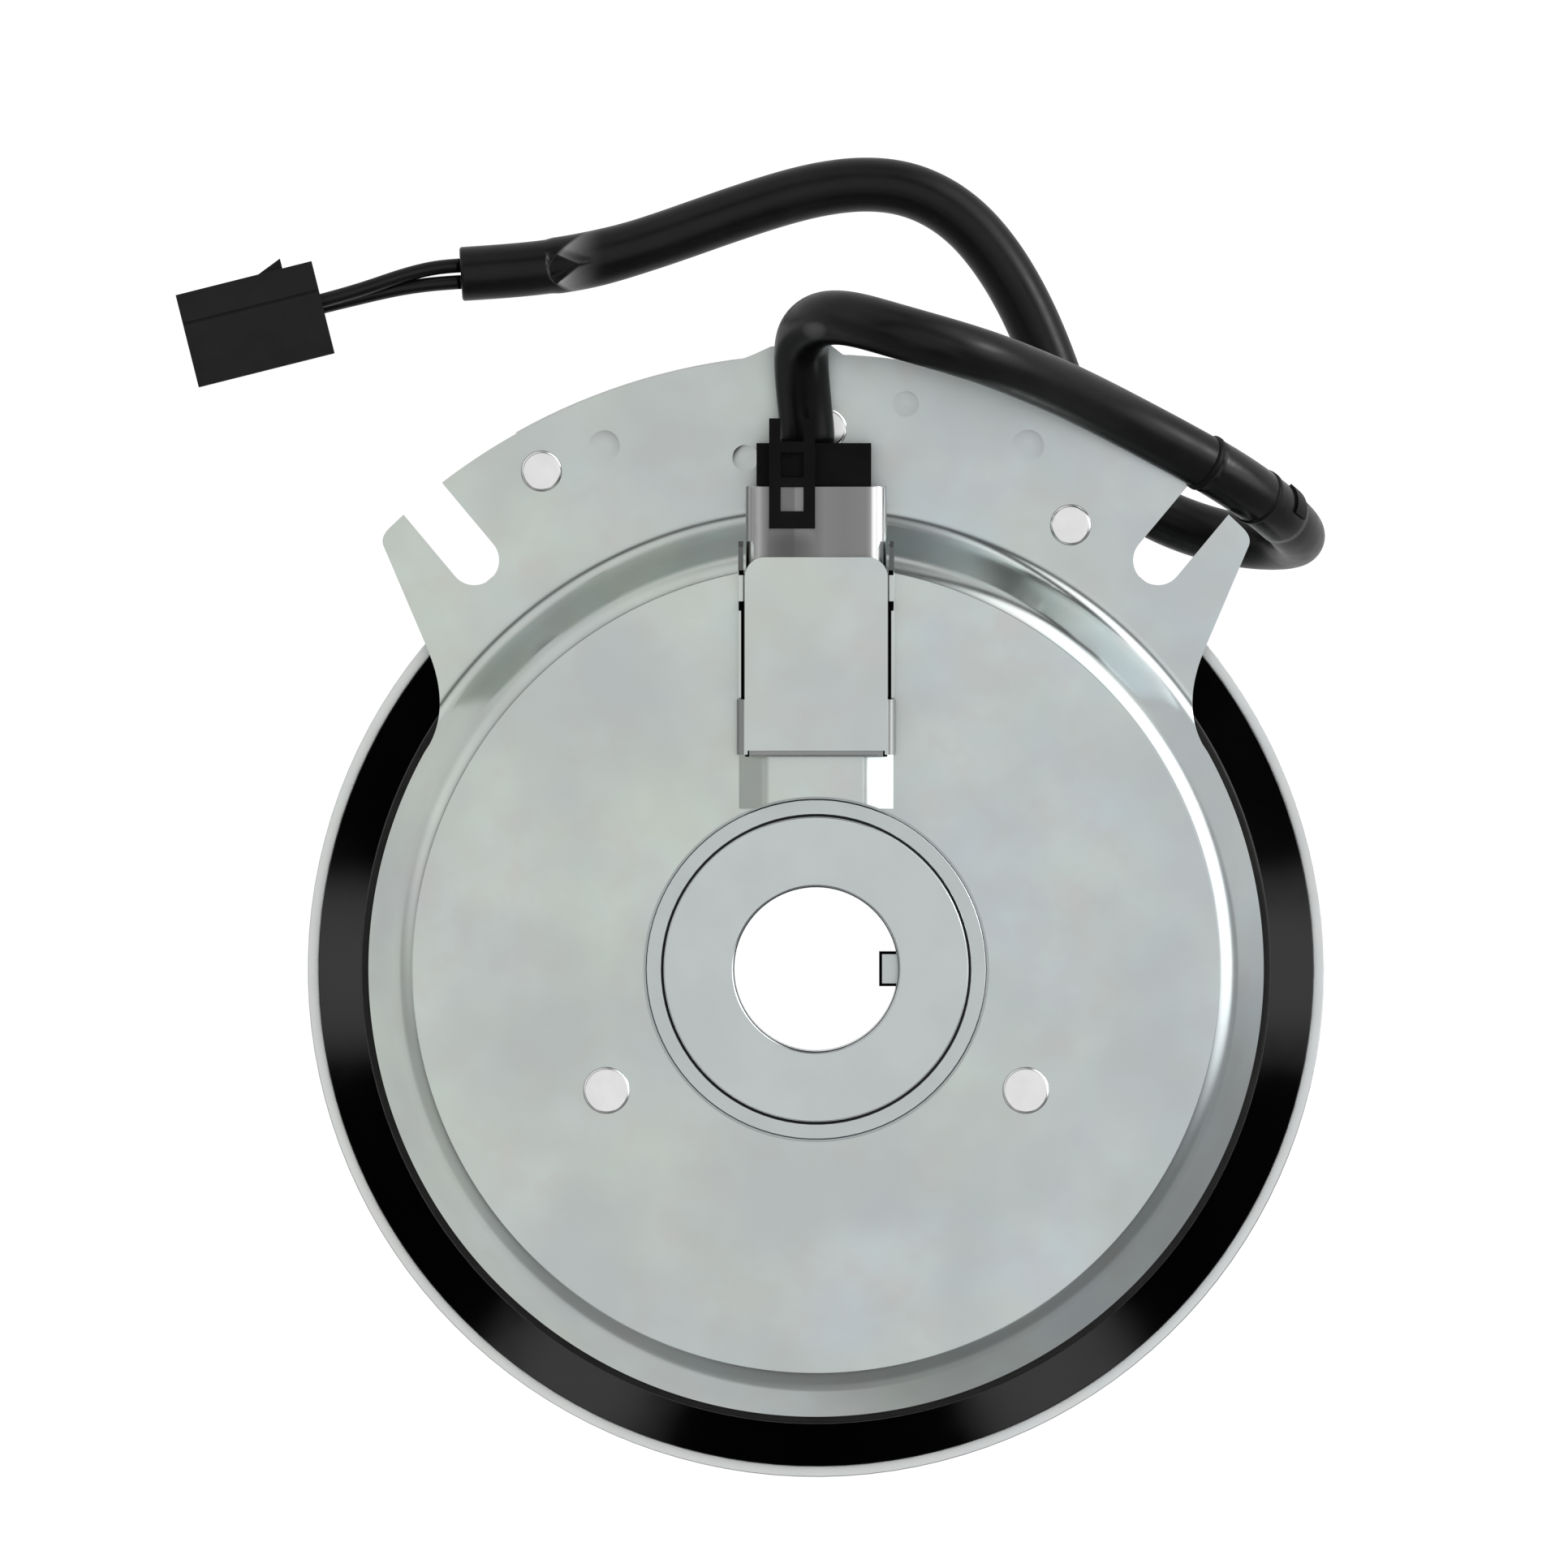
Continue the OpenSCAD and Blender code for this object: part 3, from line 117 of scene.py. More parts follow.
# %% Wire and Tree
class Wire:
    """The output of a node, on which plain operators add Math nodes."""

    def __init__(self, tree, socket):
        self.tree = tree
        self.socket = socket

    def math(self, operation, *values):
        values = {i: v for i, v in enumerate(values)}
        return self.tree.add("ShaderNodeMath", {"operation": operation}, values)

    def __add__(self, other):
        return self.math("ADD", self, other)

    def __sub__(self, other):
        return self.math("SUBTRACT", self, other)

    def __rsub__(self, other):
        return self.math("SUBTRACT", other, self)

    def __mul__(self, other):
        return self.math("MULTIPLY", self, other)

    def __truediv__(self, other):
        return self.math("DIVIDE", self, other)

    def __rtruediv__(self, other):
        return self.math("DIVIDE", other, self)

    __radd__ = __add__
    __rmul__ = __mul__

    def clamped(self):
        return self.tree.add("ShaderNodeClamp", {}, {0: self})

    def root(self):
        return self.math("SQRT", self)

    def floor(self):
        return self.math("FLOOR", self)

    def without_sign(self):
        return self.math("ABSOLUTE", self)

    def at_least(self, low):
        return self.math("MAXIMUM", self, low)


class Tree:
    """A node tree with one method that adds any node."""

    def __init__(self, tree):
        self.tree = tree

    def feed(self, socket, value):
        if isinstance(value, Wire):
            self.tree.links.new(value.socket, socket)
        else:
            socket.default_value = value

    def add(self, kind, settings=None, inputs=None, output=0):
        node = self.tree.nodes.new(kind)
        for name, value in (settings or {}).items():
            if name == "stops":
                self.set_stops(node.color_ramp, value)
            else:
                setattr(node, name, value)
        for key, value in (inputs or {}).items():
            self.feed(node.inputs[key], value)
        return Wire(self, node.outputs[output]) if len(node.outputs) else node

    def set_stops(self, ramp, stops):
        while len(ramp.elements) < len(stops):
            ramp.elements.new(1.0)
        for element, (place, colour) in zip(ramp.elements, stops):
            element.position = place
            element.color = colour


def new_tree(id_block):
    id_block.use_nodes = True
    id_block.node_tree.nodes.clear()
    return Tree(id_block.node_tree)


print("wire and tree ready")

# %% [markdown]
# ## The studio
# Bright metal shows little colour of its own: it shows the room. So the room is designed with
# care, as soft patches of light on a grey sphere. A flat face that looks up mirrors the zenith,
# where the light is even and has a strength of one, so that it renders as bright as its colour
# is written. Round that cap lies a dark band, which keeps the black bevelled ring black, with
# four small patches in it that put the soft glints on the ring. Below it, the polished bends of
# the bowl mirror the sides: a large soft box stands on the right, and weaker ones elsewhere.

# %% The world as soft patches of light
def direction(azimuth, tilt):
    """The unit vector at an azimuth, tilted that many degrees from the zenith."""
    a, t = radians(azimuth), radians(tilt)
    return (sin(t) * cos(a), sin(t) * sin(a), cos(t))


def patch(tree, toward, centre, inner, outer):
    """One where the ray is within inner degrees of a centre, and zero beyond outer degrees."""
    dot = tree.add(
        "ShaderNodeVectorMath", {"operation": "DOT_PRODUCT"}, {0: toward, 1: centre}, "Value"
    )
    return tree.add(
        "ShaderNodeMapRange",
        {"interpolation_type": "SMOOTHSTEP"},
        {"Value": dot, "From Min": cos(radians(outer)), "From Max": cos(radians(inner))},
    )


def boxes(tree, ray, rows, light):
    """Adds patches of (strength, azimuth, tilt, inner, outer) to a light."""
    for strength, azimuth, tilt, inner, outer in rows:
        light = patch(tree, ray, direction(azimuth, tilt), inner, outer) * strength + light
    return light


ZENITH = direction(0, 0)
ZENITH_LIGHT = 1.15
ROOM_GREY = 0.3
SIDE_BOXES = [
    # strength, azimuth, tilt, inner, outer
    (2.4, 28, 72, 28, 48),
    (0.85, 132, 62, 18, 50),
    (0.3, 185, 80, 20, 45),
    (0.15, 235, 80, 15, 45),
]
HIGH_BOX = (0.8, 20, 27, 4, 13)
WINDOW = (13.0, 23, 70, 4, 12)
GLINTS = [(1.3, azimuth, 40, 1.5, 9) for azimuth in (0, 180, 240, 300)]

world = bpy.data.worlds.new("studio")
scene.world = world
studio = new_tree(world)
ray = studio.add("ShaderNodeTexCoord", output="Generated")
sides = boxes(studio, ray, SIDE_BOXES, ROOM_GREY)
low_room = 1 - patch(studio, ray, ZENITH, 44, 52)
light = sides * low_room + patch(studio, ray, ZENITH, 28, 36) * ZENITH_LIGHT + 0.01
light = boxes(studio, ray, GLINTS + [HIGH_BOX, WINDOW], light)
room = studio.add("ShaderNodeBackground", {}, {"Strength": light})
white = studio.add("ShaderNodeBackground", {}, {"Color": (1, 1, 1, 1), "Strength": 1.0})
is_camera = studio.add("ShaderNodeLightPath", output="Is Camera Ray")
sky = studio.add("ShaderNodeMixShader", {}, {0: is_camera, 1: room, 2: white})
studio.add("ShaderNodeOutputWorld", {}, {"Surface": sky})
print("patches of light", len(SIDE_BOXES) + len(GLINTS) + 3)

# %% [markdown]
# ## Floor and key lamp
# The floor is a plain pale sheet just under the pulley's rim. To the camera, and in mirror
# images, it is white. The rest of its light is what falls on it, so that it keeps a faint
# shadow of the clutch. In mirror images the paper is darker towards the lower right, away from
# the windows. One soft lamp from the upper right gives the shadow its side.

# %% Floor and lamp
FLOOR_HALF = 4.0
FLOOR_DROP = 0.3 * MM
FLOOR_GLOW = 0.88
GLOW_LIGHT = 1.12
MIRRORED_LIGHT = 0.8
MIRRORED_DARK = 0.4
PAPER = 0.86
DARK_SIDE = direction(316, 90)
DARK_FROM = 0.1
DARK_BLUR = 0.03
LAMP_PLACE = (0.75, 0.8, 1.3)
LAMP_SIZE = 0.9
LAMP_POWER = 9

floor_mesh = bpy.data.meshes.new("floor")
floor_z = cad_low[2] - FLOOR_DROP
corners = [(x * FLOOR_HALF, y * FLOOR_HALF, floor_z) for x, y in ((-1, -1), (1, -1), (1, 1), (-1, 1))]
floor_mesh.from_pydata(corners, [], [(0, 1, 2, 3)])
floor = bpy.data.objects.new("floor", floor_mesh)
scene.collection.objects.link(floor)
floor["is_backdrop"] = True

floor_material = bpy.data.materials.new("floor")
paper = new_tree(floor_material)
seen = {kind: paper.add("ShaderNodeLightPath", output=f"Is {kind} Ray")
        for kind in ("Camera", "Glossy", "Transmission")}
share = (seen["Camera"] + seen["Transmission"]) * FLOOR_GLOW + seen["Glossy"]
spot = paper.add("ShaderNodeTexCoord", output="Object")
toward_dark = paper.add(
    "ShaderNodeVectorMath", {"operation": "DOT_PRODUCT"}, {0: spot, 1: DARK_SIDE}, "Value"
)
mirrored = MIRRORED_LIGHT - ((toward_dark - DARK_FROM) / DARK_BLUR).clamped() * MIRRORED_DARK
glow_light = (1 - seen["Glossy"]) * GLOW_LIGHT + seen["Glossy"] * mirrored
matt = paper.add("ShaderNodeBsdfDiffuse", {}, {"Color": (PAPER, PAPER, PAPER, 1)})
glow = paper.add("ShaderNodeEmission", {}, {"Color": (1, 1, 1, 1), "Strength": glow_light})
surface = paper.add("ShaderNodeMixShader", {}, {0: share.clamped(), 1: matt, 2: glow})
paper.add("ShaderNodeOutputMaterial", {}, {"Surface": surface})
floor_mesh.materials.append(floor_material)

lamp_data = bpy.data.lights.new("key", "AREA")
lamp_data.shape = "DISK"
lamp_data.size = LAMP_SIZE
lamp_data.energy = LAMP_POWER
lamp = bpy.data.objects.new("key", lamp_data)
lamp.location = Vector(LAMP_PLACE)
lamp.rotation_euler = (-lamp.location).to_track_quat("-Z", "Y").to_euler()
lamp.visible_glossy = False
scene.collection.objects.link(lamp)
print("floor at", round(floor_z / MM, 2), "mm, lamps", 1)

# %% [markdown]
# ## Finishes
# Every finish starts from one plain surface shader. Its fixed values are set on the shader's own
# sockets. What changes over the surface is worked out from object coordinates: a slow cloud in
# the colour, a finer one in the roughness, and a fine bump. Sizes are given in millimetres, so
# a cloud of 14 is as large on the part as it is written.

# %% The base of every finish
def grey(level, warm=0.0):
    """A near grey of a screen level from 0 to 255, as the shader wants it."""
    def straight(value):
        v = max(value, 0) / 255
        return v / 12.92 if v <= 0.04045 else ((v + 0.055) / 1.055) ** 2.4
    return (straight(level + warm), straight(level), straight(level - warm), 1)


class Finish:
    """A material with one surface shader and helpers for what varies over it."""

    def __init__(self, name, colour, metallic=0.0, roughness=0.4, **fixed):
        self.material = bpy.data.materials.new(name)
        self.tree = new_tree(self.material)
        self.shader = self.tree.tree.nodes.new("ShaderNodeBsdfPrincipled")
        self.place = self.tree.add("ShaderNodeTexCoord", output="Object")
        self.set(**{"Base Color": colour, "Metallic": metallic, "Roughness": roughness}, **fixed)
        surface = Wire(self.tree, self.shader.outputs[0])
        self.tree.add("ShaderNodeOutputMaterial", {}, {"Surface": surface})
        self.normal = None

    def set(self, **values):
        for name, value in values.items():
            self.tree.feed(self.shader.inputs[name.replace("_", " ")], value)

    def cloud(self, size, detail=2.0, seed=0.0, stretch=(1, 1, 1), contrast=0.5):
        """Smooth noise from 0 to 1 whose blotches are about size millimetres across."""
        moved = self.tree.add(
            "ShaderNodeMapping", {},
            {"Vector": self.place, "Location": (seed, seed, seed), "Scale": stretch},
        )
        noise = self.tree.add(
            "ShaderNodeTexNoise", {},
            {"Vector": moved, "Scale": 1 / (size * MM), "Detail": detail, "Roughness": 0.55},
        )
        return self.tree.add(
            "ShaderNodeMapRange", {"interpolation_type": "SMOOTHSTEP"},
            {"Value": noise, "From Min": 0.5 - contrast / 2, "From Max": 0.5 + contrast / 2},
        )

    def blend(self, mask, first, second):
        """A colour between two, by a mask from 0 to 1."""
        return self.tree.add(
            "ShaderNodeMix", {"data_type": "RGBA"}, {0: mask, 6: first, 7: second}, 2
        )

    def bump(self, height, depth, strength=1.0):
        """Bump of a height from 0 to 1, depth millimetres deep at 1, over what is there."""
        inputs = {"Height": height, "Distance": depth * MM, "Strength": strength}
        if self.normal:
            inputs["Normal"] = self.normal
        self.normal = self.tree.add("ShaderNodeBump", {}, inputs)
        self.set(Normal=self.normal)

    def across(self, *axes):
        """Object coordinates in millimetres: axis 0 is x and axis 1 is y."""
        return [self.tree.add("ShaderNodeSeparateXYZ", {}, {0: self.place}, i) / MM for i in axes]

    def radius(self):
        """Distance from the axis in millimetres."""
        x, y = self.across(0, 1)
        return (x * x + y * y).root()

    def spot(self, middle, half, top=1.0):
        """A soft oval spot, from its top in the middle down to zero."""
        right, up = [(at - mid) / far for at, mid, far in zip(self.across(0, 1), middle, half)]
        return (top - right * right - up * up).clamped()


print("finish class ready")

# %% [markdown]
# ## Zinc coats
# Galvanised sheet is grey with clouds of green, blue and warm grey, ten to thirty millimetres
# across. The tint also drifts from green at the left to blue at the right. The gloss is nearly
# even, because a change of gloss would show as a patch of light. All zinc is full metal, and its
# colour is the level that a flat shows. Along the steep side of the rims of the bracket's four
# dimples, painted shade is laid into the colour to make them a little darker.

# %% Galvanised sheet and other zinc
TINT_SPAN = 110
TINTS = [
    # moves of red, green and blue in screen levels, for green, blue, warm, pale and dull
    (-2, 4, -2), (-6, 1, 5), (1, -1, -3), (2, 6, 4), (-11, -8, -8),
]
PAINTED_SHADE_SHARE = 0.5
PAINTED_SHADE_DROP = 58


def tint(level, red, green, blue):
    """A grey of a screen level with its three parts moved by a few levels."""
    return (grey(level + red)[0], grey(level + green)[1], grey(level + blue)[2], 1)


def zinc_coat(name, level, roughness, strong=1.0, blotch=9, shade=None):
    """Zinc of a level, with tints as strong as given and blotches some millimetres across."""
    coat = Finish(name, grey(level), 1.0, roughness)
    green, blue, warm, pale, dull = [tint(level, *(part * strong for part in move)) for move in TINTS]
    drift = coat.across(0)[0] / TINT_SPAN
    side = (drift + coat.cloud(blotch * 3, 2, 0.3, contrast=0.5)).clamped()
    slow = coat.blend(side, green, blue)
    mottle = coat.blend(coat.cloud(blotch * 0.8, 2, 1.7, contrast=0.4), warm, pale)
    mixed = coat.blend(coat.cloud(blotch * 1.4, 1, 5.2, contrast=0.5) * 0.4 + 0.3, slow, mottle)
    colour = coat.blend(coat.cloud(blotch * 3, 2, 8.8, contrast=0.5) * 0.7, mixed, dull)
    # A shade given here is painted shade, laid into the colour.
    if shade:
        colour = coat.blend(shade(coat) * PAINTED_SHADE_SHARE, colour, grey(level - PAINTED_SHADE_DROP))
    coat.set(Base_Color=colour)
    coat.set(Roughness=coat.cloud(6, 1, 4.1, contrast=1.0) * 0.04 + (roughness - 0.02))
    return coat.material


DIMPLES = [
    # middle, radius, direction of the steep side in degrees
    (-37, 91.2, 2.85, 63), (-12.3, 89.1, 2.4, 120), (15.6, 98.5, 2.4, 63), (36.9, 91.2, 2.95, 63),
]


def dimple_rim_painted_shade(coat):
    """Painted shade: from 0 to 1 along the steep side of each dimple's rim."""
    x, y = coat.across(0, 1)
    shade = 0
    for middle_x, middle_y, radius, steep in DIMPLES:
        right, up = (x - middle_x) / radius, (y - middle_y) / radius
        out = (right * right + up * up).root()
        toward = right * cos(radians(steep)) + up * sin(radians(steep))
        inside = ((1.02 - out) / 0.1).clamped()
        rim = ((out - 0.3) / 0.65).clamped() * (toward * 0.75 + 0.35).clamped()
        shade = inside * rim + shade
    return shade


# The galvanised coat carries the painted shade along the dimples' rims.
galvanised = zinc_coat("galvanised", 201, 0.24, 1.8, shade=dimple_rim_painted_shade)
cover_zinc = zinc_coat("cover_zinc", 201, 0.24, 1.5)
pulley_zinc = zinc_coat("pulley_zinc", 222, 0.24, 0.7)
# The next three are lighter and darker copies of the cover's zinc: a painted highlight for the cover's
# lip, and painted shade for its side tabs and the walls' sloping ends.
tab_zinc = zinc_coat("tab_zinc", 158, 0.31, 0.6)
edge_zinc = zinc_coat("edge_zinc", 238, 0.31, 0.6)
end_zinc = zinc_coat("end_zinc", 100, 0.31, 0.6)
print("zinc coats", 6)

# %% [markdown]
# ## The hood's painted shine
# The hood over the connector is drawn deeper, and its shine is painted into its colour as
# lengthwise stripes of painted reflection: lighter at its left, darker in the middle, with one
# bright painted highlight along the right bend. The stripes are a colour ramp across its width. A
# soft dark spot of painted shadow lies under the connector's latch.

# %% Stripes across the hood
HOOD_HALF = 12.25
# Place and size of the painted shadow under the connector's latch.
LATCH_SHADOW_MIDDLE = (-4.4, 73.4)
LATCH_SHADOW_HALF = (4.2, 3.8)
HOOD_PAINTED_REFLECTIONS = [
    # place across the hood, level
    (-12.2, 150), (-11.5, 172), (-9.9, 168), (-9.2, 138), (-8.2, 114), (-3.9, 116), (-3.6, 138),
    (0.1, 122), (1.5, 133), (5, 129), (8.8, 134), (9.5, 160), (9.9, 255), (11, 255), (11.3, 180),
    (11.8, 226), (12.2, 170),
]


def hood_with_painted_light():
    coat = Finish("shroud_zinc", grey(140), 1.0, 0.2)
    # Painted reflection: the ramp paints stripes of light and dark across the hood.
    stops = [((at + HOOD_HALF) / (2 * HOOD_HALF), grey(level)) for at, level in HOOD_PAINTED_REFLECTIONS]
    share = (coat.across(0)[0] + HOOD_HALF) / (2 * HOOD_HALF)
    stripes = coat.tree.add("ShaderNodeValToRGB", {"stops": stops}, {0: share})
    # Painted shadow: a soft dark spot under the connector's latch.
    spot = coat.spot(LATCH_SHADOW_MIDDLE, LATCH_SHADOW_HALF, 1.1)
    coat.set(Base_Color=coat.blend(spot * 0.75, stripes, grey(84)))
    coat.set(Roughness=coat.cloud(5, 1, 2.7) * 0.06 + 0.17)
    return coat.material


shroud_zinc = hood_with_painted_light()
print("stripes", len(HOOD_PAINTED_REFLECTIONS))

# %% [markdown]
# ## Turned steel
# The hub, the neck and the bearing races were cut on a lathe. The tool leaves fine rings round
# the axis, so the bump follows the distance from the axis. A little slow noise keeps the rings
# from looking printed.

# %% Turned and ground steel
def turned_steel(name, level, roughness, pitch=0.35, depth=0.0015, spread=3):
    steel = Finish(name, grey(level), 1.0, roughness)
    rings = steel.tree.add(
        "ShaderNodeTexNoise", {"noise_dimensions": "1D"},
        {"W": steel.radius() + steel.cloud(20, 1, 2.2) * 0.3, "Scale": 1 / pitch, "Detail": 2.0},
    )
    colours = [tint(level + step, -4, 1, 2) for step in (-spread, spread)]
    steel.set(Base_Color=steel.blend(steel.cloud(12, 2, 0.9), *colours))
    steel.set(Roughness=rings * 0.04 + (roughness - 0.02))
    steel.bump(rings, depth, 0.5)
    return steel.material


hub_steel = turned_steel("hub_steel", 198, 0.17)
neck_steel = turned_steel("neck_steel", 194, 0.24)
race_steel = turned_steel("race_steel", 205, 0.12, 0.2, 0.0006)
plain_steel = turned_steel("plain_steel", 168, 0.34)
print("turned steels", 4)

# %% [markdown]
# ## Other metals
# The rivets are bright and smooth, with a barely worn top. The armature has a gloss black coat
# and the rotor a dark oxide. The winding, the terminals and the friction lining have their own
# colours, which show from behind and when the parts are taken away.

# %% Bright, black and coloured metals
def plain_metal(name, colour, dark, roughness, metallic=1.0, size=5, depth=0.003, vary=0.08):
    metal = Finish(name, colour, metallic, roughness)
    metal.set(Base_Color=metal.blend(metal.cloud(size, 3, 1.1), dark, colour))
    metal.set(Roughness=metal.cloud(size * 0.6, 2, 3.3) * vary + (roughness - vary / 2))
    metal.bump(metal.cloud(size * 0.25, 2, 5.5), depth, 0.4)
    return metal.material


rivet_steel = plain_metal("rivet_steel", grey(234), grey(226), 0.2)
spring_steel = plain_metal("spring_steel", grey(186, 2), grey(170, 2), 0.25)
ball_steel = plain_metal("ball_steel", grey(214), grey(208), 0.08)
black_gloss = plain_metal("black_gloss", grey(2), grey(1), 0.09, 0.0, 20, 0, 0.02)
rotor_oxide = plain_metal("rotor_oxide", grey(34, 1), grey(25), 0.38, 0.6)
circlip_oxide = plain_metal("circlip_oxide", grey(46, 2), grey(30), 0.3, 0.8)
copper = plain_metal("copper", (0.52, 0.2, 0.075, 1), (0.38, 0.13, 0.05, 1), 0.3, 0.9, 3)
brass = plain_metal("brass", (0.62, 0.45, 0.17, 1), (0.5, 0.35, 0.12, 1), 0.26, 1.0, 3)
print("metals", 8)

# %% [markdown]
# ## Plastics, vinyl and friction
# The connector is near black with a fine moulded grain, and the plug is a little lighter. The
# tape, its bands and the wires are black vinyl of different gloss. The lining is a pressed mix of
# fibres and dark binder with pale specks.

# %% Soft and moulded finishes
def moulded(name, level, roughness, grain=0.5, depth=0.01, specular=0.5):
    plastic = Finish(name, grey(level), 0.0, roughness, **{"Specular IOR Level": specular})
    plastic.set(Base_Color=plastic.blend(plastic.cloud(7, 2, 2.4), grey(level - 2), grey(level + 2)))
    plastic.set(Roughness=plastic.cloud(3, 2, 6.1) * 0.1 + (roughness - 0.05))
    plastic.bump(plastic.cloud(grain, 2, 0.4), depth, 0.5)
    return plastic.material


def pressed_fibre(name):
    fibre = Finish(name, grey(70, 6), 0.0, 0.85)
    specks = fibre.cloud(0.9, 3, 1.3, contrast=0.18)
    fibre.set(Base_Color=fibre.blend(specks, grey(46, 5), grey(104, 9)))
    fibre.bump(fibre.cloud(0.7, 4, 2.9), 0.08, 0.8)
    return fibre.material


connector_plastic = moulded("connector_plastic", 8, 0.5, specular=0.1)
plug_plastic = moulded("plug_plastic", 27, 0.5, specular=0.12)
bobbin_plastic = moulded("bobbin_plastic", 24, 0.5)
potting_resin = moulded("potting_resin", 18, 0.3, 4, 0.05)
tape_vinyl = moulded("tape_vinyl", 12, 0.26, 0.8, 0.012, 0.3)
band_vinyl = moulded("band_vinyl", 9, 0.45, 0.8, 0.01, 0.15)
wire_vinyl = moulded("wire_vinyl", 16, 0.3, 0.8, 0.006, 0.22)
# Near black, used only for the painted shadow in the cover's gaps.
inner_black = moulded("inner_black", 3, 0.7, specular=0.03)
seal_rubber = moulded("seal_rubber", 30, 0.6)
lining_mix = pressed_fibre("lining_mix")
print("plastics and fibres", 10)

# %% [markdown]
# ## Painted light on the sleeve's vinyl
# Two soft pale spots of painted highlight are laid over the sleeve's dark colour: one at the sharp
# fold near its end, and a dimmer one on the inside of its first bend. The first begins sharply at
# the fold and fades along the sleeve. The pocket of the fold is painted black, as painted shadow,
# and has the shape of a V.

# %% The sleeve's vinyl
# Places and sizes of the painted shadow in the fold's pocket, of the painted highlight beside it and of
# the painted highlight at the first bend.
FOLD_MIDDLE = (-45.2, 122.45)
FOLD_RISE = 0.19
FOLD_START = -47.0
POCKET_END = -41.6
POCKET_SLOPE = 0.62
SLIT_END = -37.7
SLIT_HALF = 0.45
EDGE_BLUR = 0.3
FOLD_HIGHLIGHT_END = -36.8
FOLD_HIGHLIGHT_SPAN = 9
BEND_HIGHLIGHT_MIDDLE = (-0.3, 111.2)
BEND_HIGHLIGHT_HALF = (2.3, 1.7)


def vinyl_with_painted_light():
    vinyl = Finish("sleeve_vinyl", grey(14), 0.0, 0.33, **{"Specular IOR Level": 0.2})
    x, y = vinyl.across(0, 1)
    off = y - (x - FOLD_MIDDLE[0]) * FOLD_RISE - FOLD_MIDDLE[1]
    apart = off.without_sign()
    begins = x - FOLD_START - off * off * 0.2
    # Painted shadow: the V shaped pocket of the fold, painted black below.
    half = (POCKET_END - x).at_least(0) * POCKET_SLOPE + ((SLIT_END - x) / 4).clamped() * SLIT_HALF
    pocket = (begins / EDGE_BLUR).clamped() * ((half - apart) / EDGE_BLUR).clamped()
    # Painted highlight: pale lips beside the fold, fading along the sleeve.
    fading = ((FOLD_HIGHLIGHT_END - x) / FOLD_HIGHLIGHT_SPAN).clamped()
    lips = (apart * 0.16 + 0.3 - off * 0.08).clamped()
    fold_highlight = begins.clamped() * fading * fading * lips
    # Painted highlight: a soft pale spot on the inside of the first bend.
    bent = vinyl.spot(BEND_HIGHLIGHT_MIDDLE, BEND_HIGHLIGHT_HALF)
    dark = vinyl.blend(vinyl.cloud(7, 2, 2.4), grey(12), grey(17))
    pale = vinyl.blend(bent * 0.7, dark, grey(92))
    fold_lit_colour = vinyl.blend(fold_highlight, pale, grey(196))
    vinyl.set(Base_Color=vinyl.blend(pocket, fold_lit_colour, grey(1)))
    vinyl.set(Roughness=vinyl.cloud(3, 2, 6.1) * 0.08 + 0.29)
    return vinyl.material


sleeve_vinyl = vinyl_with_painted_light()
print("worn vinyl ready")

# %% [markdown]
# ## The lead's route
# The lead is a limp vinyl sleeve over two wires. Its route is the one that the solids follow:
# straight out of the connector, up and over in a hump, then down past the bracket to the
# surface that the clutch lies on, and along it.

# %% Route of the sleeve and the wires
SLEEVE_ROUTE = [
    (-1.5, 91.7, 59.6), (-1.5, 94, 59.6), (-2.5, 102.5, 61.9), (-2.7, 108.7, 67.1),
    (-1.9, 111.4, 71.1), (0.8, 113.6, 78.2), (5.8, 113.5, 84.6), (12.8, 111.4, 88.9),
    (19.2, 109.6, 89.8), (25.1, 107.9, 88.6), (30.4, 106.2, 85.4), (35.4, 104.3, 80.6),
    (40.6, 102.2, 74.6), (46, 99.8, 68.2), (51.6, 97, 61.9), (57.8, 93.8, 56.9),
    (64.4, 90.3, 53.4), (71, 86.6, 50), (76.8, 82.8, 45), (81.2, 79.3, 38.6),
    (83.8, 76.8, 31.2), (84.6, 75.3, 23.8), (83, 74.6, 16.8), (78.6, 74.4, 10.6),
    (72, 75.2, 6.4), (64.6, 77.4, 4.8), (58, 80.4, 4.8), (51.9, 84.8, 4.8),
    (47, 90.6, 4.8), (43.8, 97.6, 4.8), (41.2, 105.4, 4.8), (37.6, 114.4, 4.8),
    (32.8, 123.2, 4.8), (26.6, 131, 4.8), (18.8, 136, 4.8), (10, 137.8, 4.8),
    (-2, 136.4, 4.8), (-20, 130.2, 4.8), (-40, 123, 4.8), (-62.2, 121.6, 4.8),
]
WIRE_A_ROUTE = [
    (-62.4, 123.1, 4.8), (-67, 122.8, 4.8), (-73, 121.2, 5.6), (-79, 119, 6.7),
    (-86.5, 116.9, 7.2), (-94, 115, 7.2),
]
WIRE_B_ROUTE = [
    (-62.3, 120.2, 4.8), (-67, 119.9, 4.8), (-73, 119.1, 4.3), (-79, 117.7, 3.9),
    (-86.5, 115.9, 3.8), (-94, 114, 3.8),
]
SLEEVE_D = 9.5
WIRE_D = 2.5
print("points of the routes", [len(route) for route in (SLEEVE_ROUTE, WIRE_A_ROUTE, WIRE_B_ROUTE)])

# %% [markdown]
# ## A smooth line
# A cubic spline through the control points gives an even curve, without the kinks that straight
# stretches would have. The line knows how far along it each of its points lies, so it can be asked
# for the place, the heading and a ring of points at any distance.

